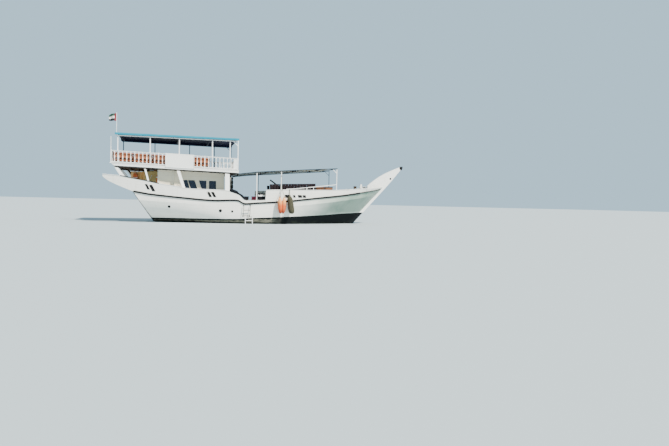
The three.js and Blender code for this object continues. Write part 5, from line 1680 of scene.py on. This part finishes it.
def makeGangSeat():
    own = gangBoxes
    outer, inner, seat = own["outer"], own["inner"], own["seat"]
    bm = bmesh.new()
    for x in (own["aft"] + 0.03, (own["aft"] + own["front"]) / 2, own["front"] - 0.03):
        for y in (outer, inner - 0.06):
            addBlock(bm, (x - 0.025, y, deckAt(x) + 0.001), (x + 0.025, y + 0.06, seat - 0.03))
    addBlock(bm, (own["aft"], inner - 0.03, seat - 0.1), (own["front"], inner - 0.005, seat - 0.03))
    for k in range(4):
        y = outer + 0.003 + k * 0.084
        addBlock(bm, (own["aft"], y, seat - 0.03), (own["front"], y + 0.076, seat))
    bevelled(asPiece(bm, "gang_bench", "tan", replaces=("gang_seat",)), 0.004, 1)
    bm = bmesh.new()
    for aft, front, top, lid, band, mark in own["rows"]:
        body = top - lid - band
        addBlock(bm, (aft + 0.01, outer + 0.01, seat + 0.001), (front - 0.01, inner - 0.01, body), mark)
        if band:
            addBlock(bm, (aft + 0.02, outer + 0.02, body), (front - 0.02, inner - 0.02, body + band), 2)
        addBlock(bm, (aft, outer, body + band + 0.004), (front, inner, top), mark)
        for x in (aft + (front - aft) * 0.25, aft + (front - aft) * 0.75):
            addBlock(bm, (x - 0.02, outer - 0.008, top - lid - 0.05),
                     (x + 0.02, outer + 0.012, top - lid + 0.03), mark)
    bevelled(asPiece(bm, "gang_boxes", "boxDark", replaces=("gang_seat",),
                     extra=("boxRed", "white")), 0.018, 3)


makeGangSeat()
print("deck gear made")


# Lifebuoy with pale bands, grab line and bracket
lifebuoy = {"centre": (-7.5154, -0.9, 3.0), "radius": 0.3, "thick": 0.0645, "band": 0.3}


def makeLifebuoy():
    own = lifebuoy
    centre = Vector(own["centre"])
    ring = bmesh.new()
    ring.from_mesh(ringMesh(own["radius"], own["thick"], 56, 18))
    for face in ring.faces:
        middle = face.calc_center_median()
        turn = (math.atan2(middle.y, middle.x) + math.pi / 4) % (math.pi / 2)
        face.material_index = 1 if turn < own["band"] else 0
    turned = Matrix.Translation(centre) @ Matrix.Rotation(math.pi / 2, 4, "Y")
    bmesh.ops.transform(ring, matrix=turned, verts=ring.verts)
    outer = own["radius"] + own["thick"] * 0.72
    path = []
    for k in range(48):
        turn = k * math.tau / 48
        slack = 0.018 * math.sin(turn * 2) ** 2
        path.append(centre + Vector((-0.03, math.cos(turn) * (outer + slack),
                                     math.sin(turn) * (outer + slack))))
    addTube(ring, path, 0.006, True, 2, 2)
    for k in range(4):
        turn = k * math.pi / 2
        spot = centre + Vector((0, math.cos(turn), math.sin(turn))) * own["radius"]
        band = Matrix.Translation(spot) @ Matrix.Rotation(turn, 4, "X") @ Matrix.Rotation(math.pi / 2, 4, "X")
        stamp(ring, ringMesh(own["thick"] + 0.001, 0.006, 24, 6), band, 1)
    asPiece(ring, "lifebuoy_ring", "lifebuoy", replaces=("lifebuoy",),
            extra=("white", "line"))
    hook = bmesh.new()
    top = centre + Vector((0.062, 0, own["radius"] - 0.08))
    addTube(hook, bentPath([top + Vector((-0.004, 0, 0.1)), top + Vector((-0.05, 0, 0.09)),
                            top + Vector((-0.062, 0, 0.012)),
                            top + Vector((-0.09, 0, 0.0)), top + Vector((-0.13, 0, 0.04))]), 0.007)
    asPiece(hook, "lifebuoy_hook", "steel")


makeLifebuoy()


# Helm wheel: turned spokes with handles through a rim of felloes
helm = {"centre": (-3.47, -0.55, 2.0376), "rim": 0.29, "spokes": 6}


def makeHelm():
    own = helm
    bm = bmesh.new()
    face = Matrix.Translation(Vector(own["centre"])) @ Matrix.Rotation(math.pi / 2, 4, "Y")
    rimProfile = [(own["rim"] - 0.03, -0.014), (own["rim"] + 0.03, -0.014), (own["rim"] + 0.034, 0),
                  (own["rim"] + 0.03, 0.014), (own["rim"] - 0.03, 0.014), (own["rim"] - 0.034, 0)]
    stamp(bm, turnedMesh(rimProfile, 48, True), face, 0)
    stamp(bm, turnedMesh([(0, -0.028), (0.05, -0.028), (0.06, -0.018), (0.06, 0.018), (0.05, 0.03),
                          (0.018, 0.036), (0.018, 0.042), (0, 0.042)], 24), face, 1)
    spoke = turnedMesh([(0, 0.04), (0.013, 0.05), (0.011, 0.09), (0.015, 0.13), (0.011, 0.2), (0.013, 0.25),
                        (0.013, 0.33), (0.011, 0.345), (0.016, 0.38), (0.015, 0.415), (0.009, 0.433),
                        (0, 0.437)], 12)
    for k in range(own["spokes"]):
        turn = Matrix.Rotation(k * math.tau / own["spokes"], 4, "Z")
        stamp(bm, spoke, face @ turn @ Matrix.Rotation(math.pi / 2, 4, "Y"), 0)
    asPiece(bm, "helm_wheel_turned", "varnish", "helm_wheel", ("helm_wheel",), 35,
            ("bronze",))


makeHelm()


# Propeller: four twisted blades on a boss, with its shaft
propeller = {"centre": (-6.33, 0, -0.85), "radius": 0.398, "blades": 4, "chord": 0.26, "thick": 0.022}


def makePropeller():
    own = propeller
    centre = Vector(own["centre"])
    bm = gridOf(10, 12)
    outline = [(0, 0.42), (0.2, 0.62), (0.5, 0.95), (0.72, 1.0), (0.9, 0.72), (1, 0.2)]
    for vert in bm.verts:
        u, v = vert.co.x * 2, vert.co.y + 0.5
        reach = 0.06 + v * (own["radius"] - 0.06)
        chord = along(outline, v) * own["chord"] / 2
        pitch = math.atan2(0.11, reach) + 0.05
        vert.co = (-math.sin(pitch) * u * chord, math.cos(pitch) * u * chord, reach)
    bmesh.ops.solidify(bm, geom=bm.faces[:], thickness=-own["thick"])
    bladeMesh = stored(bm)
    bm = bmesh.new()
    for k in range(own["blades"]):
        turn = Matrix.Rotation(k * math.tau / own["blades"], 4, "X")
        stamp(bm, bladeMesh, Matrix.Translation(centre) @ turn)
    boss = Matrix.Translation(centre) @ Matrix.Rotation(math.pi / 2, 4, "Y")
    stamp(bm, turnedMesh([(0, -0.108), (0.03, -0.1), (0.055, -0.07), (0.07, -0.02), (0.075, 0.04),
                          (0.072, 0.1), (0.04, 0.1), (0.04, 0.7), (0, 0.7)], 28), boss)
    piece = asPiece(bm, "propeller_blades", "bronze", "propeller", ("propeller",), 45)
    addModifier(piece, "BEVEL", width=0.006, segments=3, limit_method="ANGLE", angle_limit=math.radians(50))


makePropeller()


# Rudder: a blade with eased edges, and bronze straps with bolts at its bearings. Straps: z, reach, bolts
rudderGear = {
    "foot": (-7.7014, 0, 0), "rake": (-0.5634, 0, 0.8262), "across": (-0.8262, 0, -0.5634),
    "straps": [(-0.33, 0.42, 3), (0.82, 0.07, 1), (1.62, 0.07, 1)], "faceY": 0.029, "wide": 0.07,
    "thick": 0.007, "lap": 0.035, "firstBolt": 0.06, "boltPitch": 0.13,
}


def makeRudderGear():
    own = rudderGear
    eased("rudder", "rudder", 0.014, "rudder")
    foot, rake, across = (Vector(own[key]) for key in ("foot", "rake", "across"))
    bm = bmesh.new()
    bolt = turnedMesh([(0, 0.012), (0.012, 0.009), (0.015, 0)], 10)
    for height, reach, bolts in own["straps"]:
        start = foot + rake * (height / rake.z)
        for sign in (-1, 1):
            a = start + Vector((0, sign * own["faceY"], 0)) + across * -own["lap"]
            addBar(bm, a, a + across * (reach + 0.03), own["thick"], own["wide"])
            for k in range(bolts):
                spot = a + across * (own["firstBolt"] + k * own["boltPitch"])
                stamp(bm, bolt, facing(spot + Vector((0, sign * 0.003, 0)), (0, sign, 0)))
    asPiece(bm, "rudder_straps", "bronze", "rudder", sharp=40)


makeRudderGear()


# Windlass, bitts cap, stem tip and the cleats on the caps
foreGear = {"windlass": (8.66, 2.97), "cheekY": 0.27, "bitts": (2.76, 3.075), "cleats": [6.6, -8.9, -6.0],
            "tipHalf": 0.13,
            "tip": [(11.74, 4.71), (11.86, 4.84), (12.055, 4.865), (12.055, 4.70), (11.98, 4.53),
                    (11.83, 4.57)]}


def makeForeGear():
    x, z = foreGear["windlass"]
    bm = bmesh.new()
    for sign in (-1, 1):
        y = sign * foreGear["cheekY"]
        addBlock(bm, (x - 0.075, y - 0.025, deckAt(x, 0.3) + 0.001), (x + 0.075, y + 0.025, z + 0.09))
    bevelled(asPiece(bm, "windlass_cheeks", "white"), 0.02, 3)
    bm = bmesh.new()
    across = Matrix.Translation((x, 0, z)) @ Matrix.Rotation(math.pi / 2, 4, "X")
    drum = [(0, -0.43), (0.04, -0.43), (0.075, -0.42), (0.075, -0.4), (0.05, -0.36), (0.05, -0.33),
            (0.09, -0.315), (0.09, -0.3), (0.03, -0.3), (0.03, -0.24), (0.105, -0.24), (0.105, -0.215),
            (0.07, -0.19), (0.058, 0), (0.07, 0.19), (0.105, 0.215), (0.105, 0.24), (0.03, 0.24),
            (0.03, 0.3), (0.09, 0.3), (0.09, 0.315), (0.05, 0.33), (0.05, 0.36), (0.075, 0.4),
            (0.075, 0.42), (0.04, 0.43), (0, 0.43)]
    stamp(bm, turnedMesh(drum, 28), across)
    asPiece(bm, "windlass_drum", "iron", sharp=40)
    bm = bmesh.new()
    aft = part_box("samson_post")[0][0]
    low, high = foreGear["bitts"]
    addBlock(bm, (aft - 0.02, -0.08, low), (aft + 0.2, 0.08, high))
    bevelled(asPiece(bm, "bitts_cap", "darkWoodAndShade"), 0.02, 3)
    bm = bmesh.new()
    half = foreGear["tipHalf"]
    addPlate(bm, [(x, -half, z) for x, z in foreGear["tip"]], (0, half * 2, 0))
    bevelled(asPiece(bm, "stem_tip", "trim"), 0.04, 3)
    bm = bmesh.new()
    for x in foreGear["cleats"]:
        place = Vector((x, along(crest, x), along(crest, x, 2) + 0.031))
        for shift in (-0.045, 0.045):
            addRod(bm, place + Vector((shift, 0, 0)), place + Vector((shift, 0, 0.05)), 0.014, 12)
        addTube(bm, bentPath([place + Vector((-0.15, 0, 0.068)), place + Vector((-0.08, 0, 0.055)),
                              place + Vector((0.08, 0, 0.055)),
                              place + Vector((0.15, 0, 0.068))], 5), 0.014)
        addBlock(bm, place + Vector((-0.09, -0.03, 0)), place + Vector((0.09, 0.03, 0.008)))
    mirrorAll(bm)
    asPiece(bm, "cap_cleats", "iron", sharp=40)


makeForeGear()


# Oar laid over the port seat backs
oar = {"foot": (2.95, 2.02, 2.2), "head": (1.22, 2.25, 3.44), "radius": 0.026, "shaft": 0.76, "blade": 0.3,
       "bladeWide": 0.12, "bladeThick": 0.022}


def makeOar():
    own = oar
    start, end = Vector(own["foot"]), Vector(own["head"])
    bm = bmesh.new()
    addRod(bm, start, start + (end - start) * own["shaft"], own["radius"], 14, own["radius"] * 0.85)
    blade = basis(start + (end - start) * (1 - own["blade"]), end, (0, 1, 0))
    made = bmesh.ops.create_cube(bm, size=1.0)["verts"]
    size = ((end - start).length * own["blade"], own["bladeWide"], own["bladeThick"])
    bmesh.ops.scale(bm, vec=size, verts=made)
    bmesh.ops.transform(bm, matrix=blade, verts=made)
    bevelled(asPiece(bm, "oar", "oarDark"), 0.01, 3, 50)


makeOar()


# Canvas hung from a rod under the upper deck, aft on the port side
sternCanvas = {"aft": -9.5, "front": -8.34, "inset": 0.17, "top": 3.73, "low": 2.96, "steps": 40}


def makeSternCanvas():
    own = sternCanvas

    def hangY(x):
        return upperHalf(x) - own["inset"] - 0.06

    bm = gridOf(own["steps"], 18)
    for vert in bm.verts:
        u, v = vert.co.x + 0.5, 0.5 - vert.co.y
        x = own["aft"] + u * (own["front"] - own["aft"])
        drop = own["top"] - own["low"] + 0.05 * math.sin(u * math.pi) - 0.09 * abs(u - 0.5)
        scallop = 0.03 * abs(math.sin(u * math.pi * 4)) * (1 - v) ** 2
        fold = (0.012 + 0.03 * v) * math.sin(u * 26 + math.sin(v * 3) * 1.3) + 0.03 * v * math.sin(u * 7)
        vert.co = (x, hangY(x) + fold, own["top"] - scallop - v * drop)
    area = areaOf(bm)
    piece = asPiece(bm, "stern_canvas", "tanCanvasPaintedLight", sharp=80)
    thickened(piece, 0.002, True)
    bm = bmesh.new()
    ends = [(x, hangY(x), own["top"] + 0.006) for x in (own["aft"] - 0.08, own["front"] + 0.28)]
    addRod(bm, ends[0], ends[1], 0.012, 12)
    for x in (own["aft"] - 0.06, own["front"] + 0.26):
        addRod(bm, (x, hangY(x), own["top"]), (x, hangY(x), underDeck(x) - 0.001), 0.01, 10)
    for k in range(8):
        x = own["aft"] + 0.04 + k * (own["front"] - own["aft"] - 0.08) / 7
        stamp(bm, ringMesh(0.02, 0.004, 16, 6), at((x, hangY(x), own["top"] - 0.008), (0, math.pi / 2, 0)))
    asPiece(bm, "stern_canvas_rod", "steel")


makeSternCanvas()


# Life jacket on the same side: chest pads, webbing and a collar loop, hung from a rail
jacket = {
    "at": (-9.16, 1.74, 3.6), "turn": 0.15, "padsX": 0.085, "padsY": [0, 0.07], "padsLow": -0.56,
    "bands": [-0.46, -0.3],
    "band": [(-0.172, -0.04), (-0.06, -0.052), (0.06, -0.052), (0.172, -0.04), (0.178, 0.035),
             (0.172, 0.11), (-0.172, 0.11), (-0.178, 0.035)],
    "collar": [(-0.09, -0.12), (-0.05, -0.05), (0, -0.02), (0.05, -0.05), (0.09, -0.12)],
}


def makeJackets():
    own = jacket
    x, y, z = own["at"]
    body = Matrix.Translation((x, y, z)) @ Matrix.Rotation(own["turn"], 4, "Z")
    bm = bmesh.new()
    for side in (-1, 1):
        for back in own["padsY"]:
            place = Matrix.Translation((side * own["padsX"], back, own["padsLow"]))
            stamp(bm, pads["vest"], body @ place, 0)
    for height in own["bands"]:
        addTube(bm, [body @ Vector((dx, dy, height)) for dx, dy in own["band"]], 0.007, True, 1, 1)
    loop = [body @ Vector((dx, 0.035, dz)) for dx, dz in own["collar"]]
    addTube(bm, bentPath(loop, 5), 0.02, False, 2, 0)
    piece = asPiece(bm, "life_jackets", "jacket", sharp=70, extra=("dark",))
    bm = bmesh.new()
    addTube(bm, bentPath([(x, y + 0.035, z - 0.035), (x + 0.015, y + 0.035, z - 0.01),
                          (x, y + 0.035, z + 0.02), (x, y + 0.035, z + 0.05)]), 0.005)
    railY, railZ = y + 0.02, z + 0.055
    addRod(bm, (x - 0.2, railY, railZ), (x + 0.2, railY, railZ), 0.012)
    for end in (x - 0.18, x + 0.18):
        addRod(bm, (end, railY, railZ), (end, railY, underDeck(end) - 0.001), 0.01)
    asPiece(bm, "jacket_rail", "steel")


makeJackets()


# Board beside the stairs to starboard, and a handrail on each side
stairBoard = {
    "aft": -8.13, "front": -7.475, "low": 2.05, "high": 3.7, "y": 0.69, "thick": 0.018,
    "uprights": [-8.1, -7.8, -7.505], "crossbars": [2.07, 2.86, 3.68], "barHalf": 0.022,
    "handrailsAt": [0.69, 1.41], "handrail": [(-8.45, 1.62), (-8.43, 2.3), (-8.3, 2.62), (-7.95, 3.42)],
    "tube": 0.019,
}


def makeStairBoards():
    own = stairBoard
    y, half = own["y"], own["barHalf"]
    bm = bmesh.new()
    addBlock(bm, (own["aft"], y, own["low"]), (own["front"], y + own["thick"], own["high"]))
    for x in own["uprights"]:
        addBlock(bm, (x - half, y - 0.018, own["low"] - 0.02), (x + half, y + 0.001, own["high"] + 0.02))
    for z in own["crossbars"]:
        addBlock(bm, (own["aft"] + 0.01, y - 0.022, z - half), (own["front"] - 0.005, y - 0.001, z + half))
    bevelled(asPiece(bm, "stair_board", "plywoodPaintedLight"), 0.003, 1)
    bm = bmesh.new()
    for y in own["handrailsAt"]:
        addTube(bm, bentPath([(x, y, z) for x, z in own["handrail"]], 6), own["tube"])
    asPiece(bm, "stair_handrails", "metalWhite")


makeStairBoards()


# Side curtain of the awning, furled upright at its aft end to port
curtain = {"x": -1.835, "y": 2.6, "top": 3.535, "low": 2.34, "radius": 0.062, "fold": 0.026, "folds": 9,
           "ties": [2.62, 2.98, 3.34]}


def makeCurtain():
    own = curtain
    bm = gridOf(90, 40)
    for vert in bm.verts:
        u, v = vert.co.x + 0.5, vert.co.y + 0.5
        z = own["low"] + v * (own["top"] - own["low"])
        pinch = 1 - 0.45 * max(math.exp(-((z - tie) / 0.05) ** 2) for tie in own["ties"])
        turn = u * math.tau * 0.985
        fold = own["fold"] * math.sin(turn * own["folds"] + z * 2.0)
        radius = (own["radius"] * (1.25 - 0.35 * v) + fold) * pinch
        vert.co = (own["x"] + radius * math.cos(turn), own["y"] + radius * math.sin(turn),
                   z - 0.02 * math.sin(turn * 3) * (1 - v))
    area = areaOf(bm)
    piece = asPiece(bm, "furled_curtain", "curtainDark", sharp=80)
    thickened(piece, 0.002, False)
    area / (own["top"] - own["low"]) + 0.02
    bm = bmesh.new()
    for z in own["ties"]:
        stamp(bm, ringMesh(own["radius"] * 0.68, 0.009, 24, 8), at((own["x"], own["y"], z)))
    addTube(bm, [(own["x"], own["y"], own["top"] - 0.03), (own["x"], own["y"], own["top"] + 0.03)], 0.012)
    asPiece(bm, "curtain_ties", "line")


makeCurtain()


# Furled cloth lashed along both caps where they step down: x, radius
roll = {
    "rows": [(-2.53, 0.05), (-2.47, 0.1), (-2.25, 0.105), (-2.02, 0.09), (-1.94, 0.052), (-1.78, 0.048),
             (-1.68, 0.075), (-1.52, 0.085), (-1.44, 0.07), (-1.39, 0.035)],
    "lift": 0.05, "sides": 26, "rings": 46, "ties": [-2.36, -1.86, -1.6],
}


def makeRoll():
    own = roll
    path = []
    last = own["rings"] - 1
    for k in range(own["rings"]):
        x = own["rows"][0][0] + k / last * (own["rows"][-1][0] - own["rows"][0][0])
        radius = along(own["rows"], x)
        path.append((Vector((x, along(crest, x), along(crest, x, 2) + own["lift"] + radius * 0.85)), radius))
    bm = bmesh.new()
    edges = None
    for k, (spot, radius) in enumerate(path):
        ahead = (path[min(k + 1, last)][0] - path[max(k - 1, 0)][0]).normalized()
        across = Vector((0, 1, 0))
        upward = across.cross(ahead) * -1
        pinch = 0.82 if any(abs(spot.x - tie) < 0.025 for tie in own["ties"]) else 1
        ring = []
        for step in range(own["sides"]):
            turn = step * math.tau / own["sides"]
            lumps = 0.07 * math.sin(turn * 5 + k * 0.2) + 0.05 * math.sin(turn * 2 - k * 0.47)
            size = radius * pinch * (1 + lumps)
            ring.append(bm.verts.new(spot + (across * math.cos(turn) + upward * math.sin(turn)) * size))
        before = edges
        edges = [bm.edges.new((ring[step], ring[step - 1])) for step in range(own["sides"])]
        if before:
            bmesh.ops.bridge_loops(bm, edges=before + edges)
        else:
            bm.faces.new(ring)
    bm.faces.new(ring)
    bmesh.ops.recalc_face_normals(bm, faces=bm.faces)
    mirrorAll(bm)
    piece = asPiece(bm, "curtain_roll", "curtainDark", sharp=80)
    addModifier(piece, "SUBSURF", levels=1, render_levels=1)


makeRoll()


# Timber and tube with eased edges
easedRows = [
    ("deck_pillars_starboard", "pillar", "fitting_white", 0.012),
    ("deck_pillars_port", "pillar", "fitting_white", 0.012),
    ("canopy_posts_starboard", "metalWhite", "fitting_white", 0.012),
    # Port canopy posts in slate, as painted shade
    ("canopy_posts_port", "slateShadePipe", "fitting_white", 0.012),
    ("awning_posts_starboard", "awningPipe", "fitting_white", 0.008),
    # Port awning posts in slate, as painted shade
    ("awning_posts_port", "slateShadePipe", "fitting_white", 0.008),
    # Ridges in navy, as painted shade under the cloth
    ("canopy_ridge", "navyShadePipe", "fitting_white", 0.01), ("awning_ridge", "navyShadePipe", "fitting_white", 0.01),
    ("deck_stairs", "varnish", "varnished_wood", 0.006), ("samson_post", "white", "fitting_white", 0.014),
    ("galley_locker", "plywoodPaintedLight", "varnished_wood", 0.012), ("engine_block", "iron", "engine_grey", 0.03),
    ("fore_bench_starboard", "varnish", "varnished_wood", 0.01),
    ("fore_bench_port", "varnish", "varnished_wood", 0.01),
    ("transom_board", "transom", "hull_white", 0.01), ("sign_board", "signWhite", "sign_white", 0.004),
    ("keel_and_sternpost", "bottom", "boot_black", 0.012),
]
for node, finish, slot, width in easedRows:
    eased(node, finish, width)
print("edges eased")


# Floor, sky and light
stage = {
    "floorHalf": 600.0,
    "floorColour": (0.32, 0.37, 0.39),
    "skyColour": (0.50, 0.73, 0.88),
    "skyStrength": 1.15,
    "sunFrom": (0.36, -0.42, 0.70),
    "sunStrength": 12.0,
    "sunAngle": 3.0,
    "sunColour": (1.0, 0.95, 0.87),
}


def makeStage():
    bm = bmesh.new()
    bmesh.ops.create_grid(bm, x_segments=1, y_segments=1, size=stage["floorHalf"])
    mesh = stored(bm, "floor")
    mesh.materials.append(Finish("floor", stage["floorColour"], 0.8).material)
    floor = bpy.data.objects.new("floor", mesh)
    bpy.context.scene.collection.objects.link(floor)
    sun = bpy.data.lights.new("sun", "SUN")
    sun.energy = stage["sunStrength"]
    sun.angle = math.radians(stage["sunAngle"])
    sun.color = stage["sunColour"]
    lamp = bpy.data.objects.new("sun", sun)
    lamp.rotation_euler = Vector(stage["sunFrom"]).to_track_quat("Z", "Y").to_euler()
    bpy.context.scene.collection.objects.link(lamp)
    world = bpy.data.worlds.new("sky")
    world.use_nodes = True
    background = world.node_tree.nodes["Background"]
    background.inputs["Color"].default_value = (*stage["skyColour"], 1)
    background.inputs["Strength"].default_value = stage["skyStrength"]
    bpy.context.scene.world = world


makeStage()
print("stage set")
